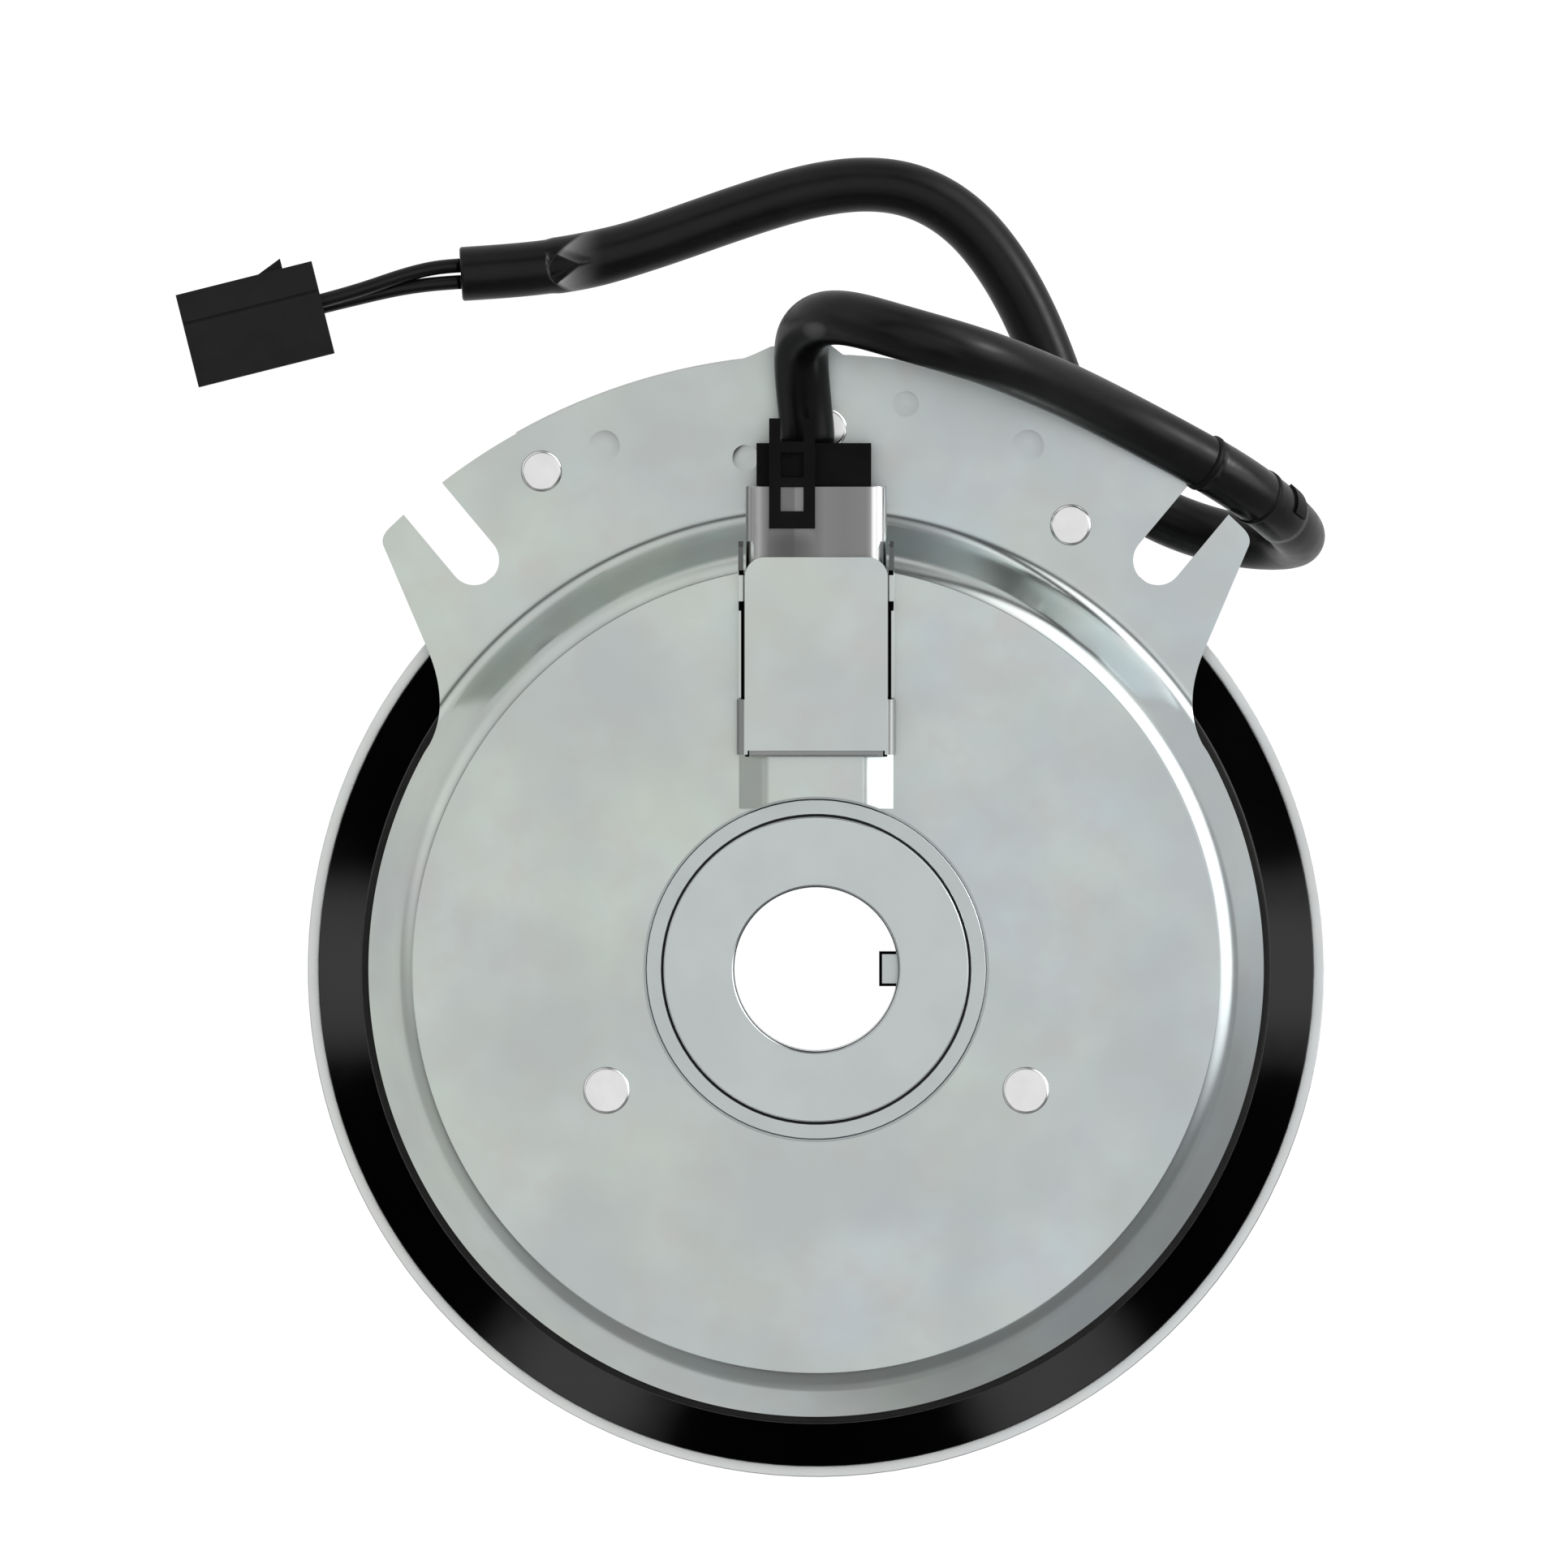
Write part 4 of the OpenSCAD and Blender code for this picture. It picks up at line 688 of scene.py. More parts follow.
# %% Lines of the sleeve and the wires
def spline(points, per_span=24):
    """A cubic B-spline from the first point to the last, as many points close together."""
    p = [Vector(q) for q in points]
    p = [2 * p[0] - p[1]] + p + [2 * p[-1] - p[-2]]
    line = []
    for a, b, c, d in zip(p, p[1:], p[2:], p[3:]):
        for i in range(per_span):
            t = i / per_span
            line.append((
                a * (1 - t) ** 3 + b * (3 * t ** 3 - 6 * t * t + 4)
                + c * (-3 * t ** 3 + 3 * t * t + 3 * t + 1) + d * t ** 3
            ) / 6)
    return line + [p[-2]]


class Line:
    """A smooth line that can be asked for a point and a frame at any distance along it."""

    def __init__(self, points):
        self.points = spline(points)
        self.far = [0.0]
        for a, b in zip(self.points, self.points[1:]):
            self.far.append(self.far[-1] + (b - a).length)
        self.length = self.far[-1]
        self.sides = []
        side = Vector((0, 0, 1))
        for i in range(len(self.points)):
            ahead = self.heading(i)
            side = (side - ahead * side.dot(ahead)).normalized()
            self.sides.append(side.copy())

    def heading(self, i):
        last = len(self.points) - 1
        return (self.points[min(i + 1, last)] - self.points[max(i - 1, 0)]).normalized()

    def at(self, distance):
        """Point, heading and side at a distance along the line."""
        distance = min(max(distance, 0.0), self.length)
        i = min(bisect_right(self.far, distance), len(self.far) - 1) - 1
        t = (distance - self.far[i]) / (self.far[i + 1] - self.far[i])
        point = self.points[i].lerp(self.points[i + 1], t)
        side = self.sides[i].lerp(self.sides[i + 1], t).normalized()
        ahead = self.heading(i).lerp(self.heading(i + 1), t).normalized()
        return point, ahead, (side - ahead * side.dot(ahead)).normalized()

    def ring(self, distance, places):
        """Points beside the line, each given by its angle round the line and its radius."""
        point, ahead, side = self.at(distance)
        across = ahead.cross(side)
        return [point + (side * cos(a) + across * sin(a)) * radius for a, radius in places]

    def nearest(self, x, y):
        """Distance along the line of its point nearest to a place seen from above."""
        spread = [hypot(point.x - x, point.y - y) for point in self.points]
        return self.far[spread.index(min(spread))]

    def path(self, step):
        """The line's points in metres, about a step apart."""
        count = ceil(self.length / step)
        return [self.at(self.length * i / count)[0] * MM for i in range(count + 1)]


sleeve_line = Line(SLEEVE_ROUTE)
wire_a_line = Line(WIRE_A_ROUTE)
wire_b_line = Line(WIRE_B_ROUTE)
print("lengths in mm", [round(line.length, 1) for line in (sleeve_line, wire_a_line, wire_b_line)])

# %% [markdown]
# ## Pieces in the frame
# Every piece is a mesh object at the origin, with its place in its mesh. Many pieces are a skin
# drawn over rings of points, so one helper makes all of those. A finished piece rides on the body
# of its solid and stands for it, so the list of bodies comes from the frame's record.

# %% Make a piece and give it its place
BODY_OF = {node: body for body, held in frame["record"]["behaviour"]["bodies"].items() for node in held}


def new_piece(name, verts, faces, material, smooth=True):
    """A mesh object in the frame, its places given in millimetres."""
    mesh = bpy.data.meshes.new(name)
    mesh.from_pydata([Vector(v) * MM for v in verts], [], faces)
    mesh.materials.append(material)
    mesh.shade_smooth() if smooth else mesh.shade_flat()
    piece = bpy.data.objects.new(name, mesh)
    scene.collection.objects.link(piece)
    return piece


def skin(name, rings, material, smooth=True):
    """A closed skin over rings of points, all with as many points as the first."""
    n = len(rings[0])
    verts = [point for ring in rings for point in ring]
    faces = [
        (i + k, i + (k + 1) % n, i + n + (k + 1) % n, i + n + k)
        for i in range(0, len(verts) - n, n) for k in range(n)
    ]
    ends = [tuple(range(n))[::-1], tuple(range(len(verts) - n, len(verts)))]
    return new_piece(name, verts, faces + ends, material, smooth)


def stand_for(piece, node):
    """A finished piece rides where its solid does, in the solid's place, and the solid is hidden."""
    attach(piece, BODY_OF[node])
    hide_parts(node)


def joined(pieces, name=None):
    """Several pieces as one, in the first of them."""
    work = bmesh.new()
    for piece in pieces:
        work.from_mesh(piece.data)
    work.to_mesh(pieces[0].data)
    work.free()
    for piece in pieces[1:]:
        bpy.data.objects.remove(piece)
    pieces[0].name = name or pieces[0].name
    return pieces[0]


# %% [markdown]
# ## Settling a mesh
# After a modifier or a cut, the mesh that results replaces the old one. Double points are merged,
# faces are turned outwards, and edges sharper than a set angle are marked, so that bends shade
# smoothly while corners stay crisp.

# %% Apply modifiers and settle
CREASE = 33
FINE_CREASE = 12


def apply_modifiers(piece):
    """Replaces a piece's mesh by what its modifiers make of it."""
    bpy.context.view_layer.update()
    graph = bpy.context.evaluated_depsgraph_get()
    mesh = bpy.data.meshes.new_from_object(piece.evaluated_get(graph), depsgraph=graph)
    piece.modifiers.clear()
    old, piece.data = piece.data, mesh
    bpy.data.meshes.remove(old)
    mesh.name = piece.name
    return mesh


def settle(piece, crease=CREASE):
    """Applies the modifiers, merges doubles, turns faces outwards and marks sharp edges."""
    mesh = apply_modifiers(piece)
    work = bmesh.new()
    work.from_mesh(mesh)
    bmesh.ops.remove_doubles(work, verts=work.verts, dist=0.001 * MM)
    bmesh.ops.recalc_face_normals(work, faces=work.faces)
    work.to_mesh(mesh)
    work.free()
    mesh.shade_smooth()
    mesh.set_sharp_from_angle(angle=radians(crease))
    return piece


print("edges are sharp over", CREASE, "degrees, on drawn sheet over", FINE_CREASE)

# %% [markdown]
# ## Tubes along a line
# A tube is a list of stations. Each has a distance along the line and a radius, and a ring of
# points is set round the line there. A station may go back, which is how the sleeve's end turns
# in over its lip and becomes a hollow. The radius may also depend on the angle, for the pocket
# where the sleeve was folded.

# %% Build a tube
TUBE_SIDES = 40


def tube(name, line, stations, material, sides=TUBE_SIDES, shape=None):
    """A closed tube through stations of (distance, radius), with an optional shape."""
    turns = [2 * pi * k / sides for k in range(sides)]
    rings = []
    for distance, radius in stations:
        places = [(a, radius * (shape(distance, a) if shape else 1)) for a in turns]
        rings.append(line.ring(distance, places))
    return skin(name, rings, material)


print("tubes have", TUBE_SIDES, "sides unless they say otherwise")

# %% [markdown]
# ## The sleeve
# The sleeve is a smooth round tube. Near its end someone folded it in a sharp bend, so it has
# a pocket in the shape of a V, between two soft lips. The pocket is a dip in the radius on the
# upper side. The end is cut square, with a thin rounded lip, and the wires come out of the
# hollow.

# %% Make the sleeve
RING_STEP = 1.2
FINE_STEP = 0.37
LIP = 0.5
SLEEVE_WALL = 0.9
HOLLOW_DEPTH = 7.0
SLEEVE_SIDES = 96
FINE_BEFORE = 12
FINE_SPAN = 22
POCKET_FROM = -3.2
POCKET_TO = 6.2
POCKET_WIDTH = 0.7
POCKET_DEPTH = 0.14
LIPS_RISE = 0.1
PINCH_AT = sleeve_line.nearest(-41, 122)


def facing(line, distance, toward):
    """The angle round the line at which its surface faces a direction."""
    point, ahead, side = line.at(distance)
    return atan2(ahead.cross(side).dot(toward), side.dot(toward))


def ease(x):
    """Rises softly from 0 to 1."""
    x = min(max(x, 0), 1)
    return x * x * (3 - 2 * x)


PINCH_UP = facing(sleeve_line, PINCH_AT, Vector((0, 0, 1)))


def pocket(d, angle):
    """From 0 to 1 inside the V shaped pocket, d millimetres past its middle."""
    mouth = POCKET_WIDTH * ease((d - POCKET_FROM) / 9) ** 0.7 * ease((POCKET_TO - d) / 0.8)
    over = max(cos(angle - PINCH_UP), 0)
    return ease((mouth - abs(sin(angle - PINCH_UP))) / 0.3) if over > 0 else 0


def pinch(distance, angle):
    """Share of the radius left at the fold: a V shaped pocket on top, with two lips beside it."""
    d = distance - PINCH_AT
    over = max(cos(angle - PINCH_UP), 0)
    lips = LIPS_RISE * ease((d + 12) / 12) * ease((6 - d) / 2) * (0.4 + 0.6 * over)
    depth = pocket(d, angle)
    return 1 - POCKET_DEPTH * depth + lips * (1 - depth)


end = sleeve_line.length
radius = SLEEVE_D / 2
marks = [RING_STEP * i for i in range(int(end / RING_STEP) + 1)]
marks += [PINCH_AT - FINE_BEFORE + FINE_STEP * i for i in range(int(FINE_SPAN / FINE_STEP))]
stations = [(0, radius - LIP), (0.15, radius - 0.15)]
stations += [(mark, radius) for mark in sorted(marks) if 0.4 < mark < end - LIP - 0.3]
for a in (0, pi / 6, pi / 3, pi / 2):
    stations.append((end - LIP * (1 - sin(a)), radius - LIP * (1 - cos(a))))
stations.append((end - 0.15, radius - SLEEVE_WALL))
stations.append((end - HOLLOW_DEPTH, radius - SLEEVE_WALL - 0.2))
lead_sleeve = tube("lead_sleeve_vinyl", sleeve_line, stations, sleeve_vinyl, SLEEVE_SIDES, pinch)
print("sleeve rings", len(stations), "pinch at", round(PINCH_AT, 1))

# %% [markdown]
# ## Tape on the sleeve
# Where the lead passes the bracket it is wrapped with a short length of tape, held by two
# narrow bands. The tape is a slightly thicker tube over the sleeve, the bands are thicker
# still, and the tape's free end stands up beside them as a small curved tab.

# %% Make the tape and its bands
TAPE_FROM = sleeve_line.nearest(68.2, 88.2)
TAPE_TO = sleeve_line.nearest(77.2, 82.6)


def wrap(name, start, stop, thick, material, edge=0.25):
    """A band of tape round the sleeve, soft at both edges."""
    inner = SLEEVE_D / 2 - 0.1
    outer = SLEEVE_D / 2 + thick
    length = stop - start
    steps = max(2, round(length / RING_STEP))
    stations = [(start, inner), (start + 0.02, outer - edge), (start + edge, outer)]
    stations += [(start + edge + (length - 2 * edge) * i / steps, outer) for i in range(1, steps)]
    stations += [(stop - edge, outer), (stop - 0.02, outer - edge), (stop, inner)]
    return tube(name, sleeve_line, stations, material)


def flap(name, start, stop, middle, spread, thick, material, rows=8, columns=14):
    """A curved patch over part of the way round the sleeve."""
    turns = [middle + radians(spread) * (2 * k / columns - 1) for k in range(columns + 1)]
    places = [(a, SLEEVE_D / 2 + thick) for a in turns] + [(a, SLEEVE_D / 2) for a in turns[::-1]]
    rings = [sleeve_line.ring(start + (stop - start) * i / rows, places) for i in range(rows + 1)]
    return settle(skin(name, rings, material))


tape_end = TAPE_TO + 9
tape = wrap("lead_tape", TAPE_FROM, tape_end, 0.18, tape_vinyl, 0.1)
band_a = wrap("lead_band_a", TAPE_FROM - 1.0, TAPE_FROM + 0.2, 0.4, band_vinyl)
band_b = wrap("lead_band_b", TAPE_TO - 0.6, TAPE_TO + 0.6, 0.4, band_vinyl)
tab_turn = facing(sleeve_line, TAPE_TO + 6, Vector((0.7, 0.45, 0.55)))
tab = flap("lead_tab", TAPE_TO + 4.4, TAPE_TO + 7.4, tab_turn, 34, 0.6, band_vinyl)
print("tape from", round(TAPE_FROM, 1), "to", round(tape_end, 1))

# %% [markdown]
# ## The two wires
# The wires leave the sleeve's hollow one beside the other and run into the plug, where each
# goes into its own hole. Each starts inside the hollow, so that no gap shows at the sleeve's end.

# %% Make the wires
WIRE_SIDES = 24


def wire(name, line):
    radius = WIRE_D / 2
    count = round(line.length / 0.7)
    stations = [(line.length * i / count, radius) for i in range(count + 1)]
    return tube(name, line, stations, wire_vinyl, WIRE_SIDES)


wire_a = wire("lead_wire_a_vinyl", wire_a_line)
wire_b = wire("lead_wire_b_vinyl", wire_b_line)
for piece, node in ((lead_sleeve, "lead_sleeve"), (wire_a, "lead_wire_a"), (wire_b, "lead_wire_b")):
    stand_for(piece, node)
roots = []
for x, y, z in (WIRE_A_ROUTE[0], WIRE_B_ROUTE[0]):
    line = Line([(x + 5.5, y, z), (x + 3, y, z), (x - 0.5, y, z)])
    stations = [(0, WIRE_D / 2), (line.length, WIRE_D / 2 - 0.01)]
    roots.append(tube("lead_root", line, stations, wire_vinyl, WIRE_SIDES))
wire_roots = joined(roots, "lead_wire_roots")
for piece in (tape, band_a, band_b, tab, wire_roots):
    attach(piece, "field")
print("pieces on the sleeve", 5)

# %% [markdown]
# ## Shapes that follow a rule
# Most of this clutch is turned or pressed round one axis, and its rivets repeat. Both are rules,
# so both are Geometry Nodes trees. The first tree turns a profile round the axis: a grid has one
# column for each step round and one row for each profile point, and every grid point looks up
# its profile point and is turned by its column's share of a full turn. The seam is then merged.

# %% A tree that turns a profile
class Group(Tree):
    """A geometry tree with named inputs besides its geometry."""

    def __init__(self, name, sockets):
        super().__init__(bpy.data.node_groups.new(name, "GeometryNodeTree"))
        face = self.tree.interface
        face.new_socket("Geometry", in_out="INPUT", socket_type="NodeSocketGeometry")
        for label, kind in sockets:
            face.new_socket(label, in_out="INPUT", socket_type=f"NodeSocket{kind}")
        face.new_socket("Geometry", in_out="OUTPUT", socket_type="NodeSocketGeometry")

    def given(self, label):
        return self.add("NodeGroupInput", output=label)

    def finish(self, geometry):
        """Real geometry with its finish, sent to the output."""
        real = self.add("GeometryNodeRealizeInstances", {}, {"Geometry": geometry})
        values = {"Geometry": real, "Material": self.given("Finish")}
        coated = self.add("GeometryNodeSetMaterial", {}, values)
        self.add("NodeGroupOutput", {}, {"Geometry": coated})
        return self.tree


def turning_group():
    tree = Group("turned_round", [("Steps", "Int"), ("Rows", "Int"), ("Finish", "Material")])
    steps, rows = tree.given("Steps"), tree.given("Rows")
    grid = tree.add("GeometryNodeMeshGrid", {}, {"Vertices X": steps + 1, "Vertices Y": rows})
    index = tree.add("GeometryNodeInputIndex")
    column = (index / rows).floor()
    row = index - column * rows
    profile = tree.given("Geometry")
    place = tree.add("GeometryNodeInputPosition")
    point = tree.add(
        "GeometryNodeSampleIndex", {"data_type": "FLOAT_VECTOR"},
        {"Geometry": profile, "Value": place, "Index": row},
    )
    turn = tree.add(
        "ShaderNodeVectorRotate", {"rotation_type": "Z_AXIS"},
        {"Vector": point, "Angle": column * (2 * pi) / steps},
    )
    placed = tree.add("GeometryNodeSetPosition", {}, {"Geometry": grid, "Position": turn})
    values = {"Geometry": placed, "Distance": 0.002 * MM}
    return tree.finish(tree.add("GeometryNodeMergeByDistance", {}, values))


turned_round = turning_group()
print("tree", turned_round.name, "nodes", len(turned_round.nodes))

# %% [markdown]
# ## From a tree to a plain mesh
# A modifier runs the tree. Its inputs are set by the sockets' identifiers before the object is
# evaluated for the first time. The result is then settled as a plain mesh. Cuts between pieces
# are settled in the same way.

# %% Run a tree and keep the mesh
STEPS_ROUND = 256


def even_shade(piece):
    """Lets large faces decide the shading at their corners, so that flats stay flat."""
    modifier = piece.modifiers.new("shade", "WEIGHTED_NORMAL")
    modifier.keep_sharp = True
    apply_modifiers(piece)


def run_tree(piece, group, **values):
    modifier = piece.modifiers.new("shape", "NODES")
    modifier.node_group = group
    for item in group.interface.items_tree:
        if item.in_out == "INPUT" and item.name in values:
            modifier[item.identifier] = values[item.name]
    return settle(piece)


def turned(name, profile, material, steps=STEPS_ROUND):
    """A body turned from a closed profile of (radius, height) in millimetres."""
    loop = [(r, 0, z) for r, z in profile + profile[:1]]
    seed = new_piece(name, loop, [], material)
    return run_tree(seed, turned_round, Steps=steps, Rows=len(loop), Finish=material)


def arc(x, y, radius, start, stop, count):
    """Points on an arc about a centre, angles in degrees."""
    angles = [radians(start + (stop - start) * i / count) for i in range(count + 1)]
    return [(x + radius * cos(a), y + radius * sin(a)) for a in angles]


def combine(piece, other, operation):
    """Adds, cuts or keeps the common part of two pieces, and drops the second."""
    modifier = piece.modifiers.new(operation.lower(), "BOOLEAN")
    modifier.operation = operation
    modifier.object = other
    modifier.solver = "EXACT"
    settle(piece)
    bpy.data.objects.remove(other)


def slab(name, outline, low, high, material):
    """A flat slab of an outline, between two heights."""
    return skin(name, [[(x, y, z) for x, y in outline] for z in (low, high)], material)


print("steps round the axis", STEPS_ROUND)

# %% [markdown]
# ## The bowl and its bracket
# The field shell is one stamping: a drawn bowl whose flange is trimmed away below and stays
# above as the bracket. The solid's bends are made of a few flat bands, and polished metal shows
# every band, so this piece repeats the section with finely divided bends. It is turned first,
# then cut to the bracket's outline, as the press does with the real one.

# %% Section of the bowl
SHELL_T = 3.0
Z_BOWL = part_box("terminal_base")[0].z / MM
Z_BRACKET = Z_BOWL - 13.5
NECK_R = 30.1
FLAT_R = 69.3
EDGE_BEND = 4.6
FIRST_AT = 70.15
FIRST_BEND = 0.8
FIRST_TURN = 24
ROOT_BEND = 4.0
WALL_SPAN = 12.2
BOWL_R = 78.1
BRACKET_R = 107.1
SHEET_END = 112.0
BEND_STEPS = 18

bends = EDGE_BEND + ROOT_BEND
wall_drop = Z_BOWL - Z_BRACKET - bends
wall_angle = (acos(bends / hypot(WALL_SPAN, wall_drop)) - atan2(wall_drop, WALL_SPAN)) * 180 / pi
edge = (FLAT_R, Z_BOWL - EDGE_BEND)
root = (FLAT_R + WALL_SPAN, Z_BRACKET + ROOT_BEND)
first_turn = radians(FIRST_TURN)
wall_face = (cos(radians(wall_angle)), sin(radians(wall_angle)))
knee = (FIRST_AT + FIRST_BEND * sin(first_turn), -FIRST_BEND * (1 - cos(first_turn)))
reach = EDGE_BEND * (1 - wall_face[1]) - (knee[0] - FLAT_R) * wall_face[0] - knee[1] * wall_face[1]
main_bend = reach / (1 - cos(radians(90 - FIRST_TURN - wall_angle)))
main = (knee[0] - main_bend * sin(first_turn), Z_BOWL + knee[1] - main_bend * cos(first_turn))
upper = [(NECK_R, Z_BOWL), (NECK_R + 1, Z_BOWL), (FIRST_AT - 2, Z_BOWL)]
upper += arc(FIRST_AT, Z_BOWL - FIRST_BEND, FIRST_BEND, 90, 90 - FIRST_TURN, 6)
upper += arc(*main, main_bend, 90 - FIRST_TURN, wall_angle, BEND_STEPS)
upper += arc(*root, ROOT_BEND, 180 + wall_angle, 270, BEND_STEPS)
upper += [(root[0] + 1, Z_BRACKET), (SHEET_END, Z_BRACKET)]
lower = [(NECK_R, Z_BOWL - SHELL_T), (FLAT_R - 1, Z_BOWL - SHELL_T)]
lower += arc(*edge, EDGE_BEND - SHELL_T, 90, wall_angle, 6)
lower += arc(*root, ROOT_BEND + SHELL_T, 180 + wall_angle, 270, BEND_STEPS)
lower += [(root[0] + 1, Z_BRACKET - SHELL_T), (SHEET_END, Z_BRACKET - SHELL_T)]
bowl = turned("field_shell_pressed", upper + lower[::-1], galvanised)
print("bowl faces", len(bowl.data.polygons), "wall angle", round(wall_angle, 1))
print("main bend's radius", round(main_bend, 1))

# %% [markdown]
# ## The bracket's outline
# The outline is drawn from the middle of the top edge round the right half and mirrored: the
# wide arc, the open slot for the anchor pin, the narrow prong beyond it with its rounded tip,
# and the soft curve that runs back into the bowl's round edge.

# %% Outline and cut
def polar(radius, angle):
    return (radius * cos(radians(angle)), radius * sin(radians(angle)))


def between(a, b, t):
    return (a[0] + (b[0] - a[0]) * t, a[1] + (b[1] - a[1]) * t)


def curve(a, b, c, count):
    """A soft curve from a to c that heads for b."""
    steps = [i / count for i in range(count + 1)]
    return [between(between(a, b, t), between(b, c, t), t) for t in steps]


SLOT_AT = 90 - 39.9
SLOT_W = 8.7
SLOT_END = polar(93, SLOT_AT)
slot_spread = atan2(SLOT_W / 2, BRACKET_R) * 180 / pi
tip, tip_face = polar(BRACKET_R, 44.7), polar(BRACKET_R, 46)
foot, bend_to, prong_root = polar(BOWL_R - 0.1, 30.2), (63.7, 46.2), polar(BOWL_R + 9.8, 39.5)
EAR = [
    (6.5, 103.7), (5, 107), (2, 109.3), (-4, 109.3), (-8, 108.6), (-10.6, 107.4), (-13.6, 106.2),
    (-14, 103.7),
]

right = arc(0, 0, BRACKET_R, 90, SLOT_AT + slot_spread, 48)
right += arc(*SLOT_END, SLOT_W / 2, SLOT_AT + 90, SLOT_AT + 270, 24)
right += arc(0, 0, BRACKET_R, SLOT_AT - slot_spread, 46, 4)
right += curve(between(tip, tip_face, 0.95), tip, between(tip, prong_root, 0.08), 8)
right += curve(prong_root, bend_to, foot, 20)
right += arc(0, 0, BOWL_R, 29, -90, 150)
outline = right + [(-x, y) for x, y in right[::-1]][1:-1]
combine(bowl, slab("blank", outline[::-1], 30, 80, galvanised), "INTERSECT")
combine(bowl, slab("ear", EAR[::-1], Z_BRACKET - SHELL_T, Z_BRACKET, galvanised), "UNION")
print("outline points", len(outline), "faces", len(bowl.data.polygons))

# %% [markdown]
# ## Rib and dimples
# A rib is pressed up between the bearing and the terminals, with sloping sides that catch the
# light. The press also leaves four shallow round dimples on the bracket. The lowest point of each
# lies off its middle, so one side of its rim is steeper and looks darker, and the zinc coat paints
# shade along that side as well. Rings of points that shrink towards that place make the tool that
# cuts them.

# %% Rib and dimples
RIB_FOOT = 13.45
RIB_TOP = 8.75
RIB_HIGH = 4.0
RIB_Y = (28, 38)
DISH_DEPTH = 0.0525
DISH_LEAN = 0.62
DISH_SHARES = [-0.2, -0.2] + [0.1 * i for i in range(1, 10)]
DISH_SIDES = 48
ABOVE = 0.5

shoulder = between((-RIB_FOOT, 0), (-RIB_TOP, RIB_HIGH), 0.8)
section = [(-RIB_FOOT, -0.5), (-RIB_FOOT, 0)]
section += curve(shoulder, (-RIB_TOP, RIB_HIGH), (-RIB_TOP + 1, RIB_HIGH), 5)
section += [(-x, z) for x, z in section[::-1]]
rib = skin("rib", [[(x, y, Z_BOWL + z) for x, z in section] for y in RIB_Y], galvanised)
settle(rib)
neck_cut = turned("neck_cut", [(0, 50), (NECK_R, 50), (NECK_R, 80), (0, 80)], galvanised)
combine(rib, neck_cut, "DIFFERENCE")
combine(bowl, rib, "UNION")


def dimple(x, y, radius, steep):
    """A cutter for a shallow dish whose lowest point lies towards its steep side."""
    rings = []
    for i, share in enumerate(DISH_SHARES):
        z = Z_BRACKET + (DISH_DEPTH * radius * ((1 - share) ** 2 - 1) if i else ABOVE)
        lean = polar(DISH_LEAN * radius * share, steep)
        ring = arc(x + lean[0], y + lean[1], radius * (1 - share), 0, 360, DISH_SIDES)[:-1]
        rings.append([(a, b, z) for a, b in ring])
    return settle(skin("dimple", rings, galvanised))


combine(bowl, joined([dimple(*mark) for mark in DIMPLES]), "DIFFERENCE")
bowl.data.set_sharp_from_angle(angle=radians(FINE_CREASE))
even_shade(bowl)
stand_for(bowl, "field_shell")
print("field shell faces", len(bowl.data.polygons))

# %% [markdown]
# ## Rivets and posts
# Every rivet of a set is the same turned shape in several places, so a second tree sets one
# shape on many points. The shape is turned first, with a rounded shoulder on each head. The
# points are the places where the clutch is riveted, and the shape is dropped when it is used.

# %% A tree that sets a shape in place
def placing_group():
    tree = Group("set_in_place", [("Shape", "Object"), ("Finish", "Material")])
    shape = tree.add(
        "GeometryNodeObjectInfo", {"transform_space": "ORIGINAL"},
        {"Object": tree.given("Shape")}, "Geometry",
    )
    values = {"Points": tree.given("Geometry"), "Instance": shape}
    return tree.finish(tree.add("GeometryNodeInstanceOnPoints", {}, values))


set_in_place = placing_group()


def around(count, radius, start=0):
    """Places round the axis, from a starting angle in degrees."""
    angles = [radians(start + 360 * i / count) for i in range(count)]
    return [(radius * cos(a), radius * sin(a), 0) for a in angles]


def head(diameter, height, z, up=True):
    """Profile of a rivet head with a rounded shoulder, from its foot to its crown."""
    r, soft = diameter / 2, min(0.7 * height, 0.6)
    side = [(r - 0.1, 0)]
    side += arc(r - soft, height - soft, soft, 0, 90, 5)
    side.append((0, height + 0.04))
    return [(x, z + (y if up else -y)) for x, y in side]


def rivets(node, places, profile, material=rivet_steel):
    """One set of rivets from one turned profile."""
    shape = turned("shape", profile, material, 48)
    seed = new_piece(node + "_turned", places, [], material)
    run_tree(seed, set_in_place, Shape=shape, Finish=material)
    bpy.data.objects.remove(shape)
    stand_for(seed, node)
    print(node, "places", len(places), "faces", len(seed.data.polygons))


print("tree", set_in_place.name, "nodes", len(set_in_place.nodes))

# %% [markdown]
# ## Where the rivets sit
# Three rivets hold the coil to the bowl and three posts carry the brake plate. Six rivets hold
# the pulley to its hub, three posts carry the leaf springs and three rivets hold the springs to
# the armature. Each profile runs from its lower end to its upper end, and many of its heights
# come from the solids that it joins.

# %% Set the rivets and posts
Z_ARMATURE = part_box("armature")[0].z / MM
Z_BRAKE, Z_LINING = [corner.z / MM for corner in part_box("brake_plate")]
Z_SPRING_LOW, Z_SPRING_TOP = [corner.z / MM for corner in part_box("armature_springs")]
Z_HUB_LOW = 8.5
Z_HUB_TOP = 17.5
SHANK = 2.5
THIN_SHANK = 1.5
SPRING_R = 56
POST_PLACES = [(-47.9, 86.9, 0), (1.8, 94.3, 0), (44.4, 77.5, 0)]

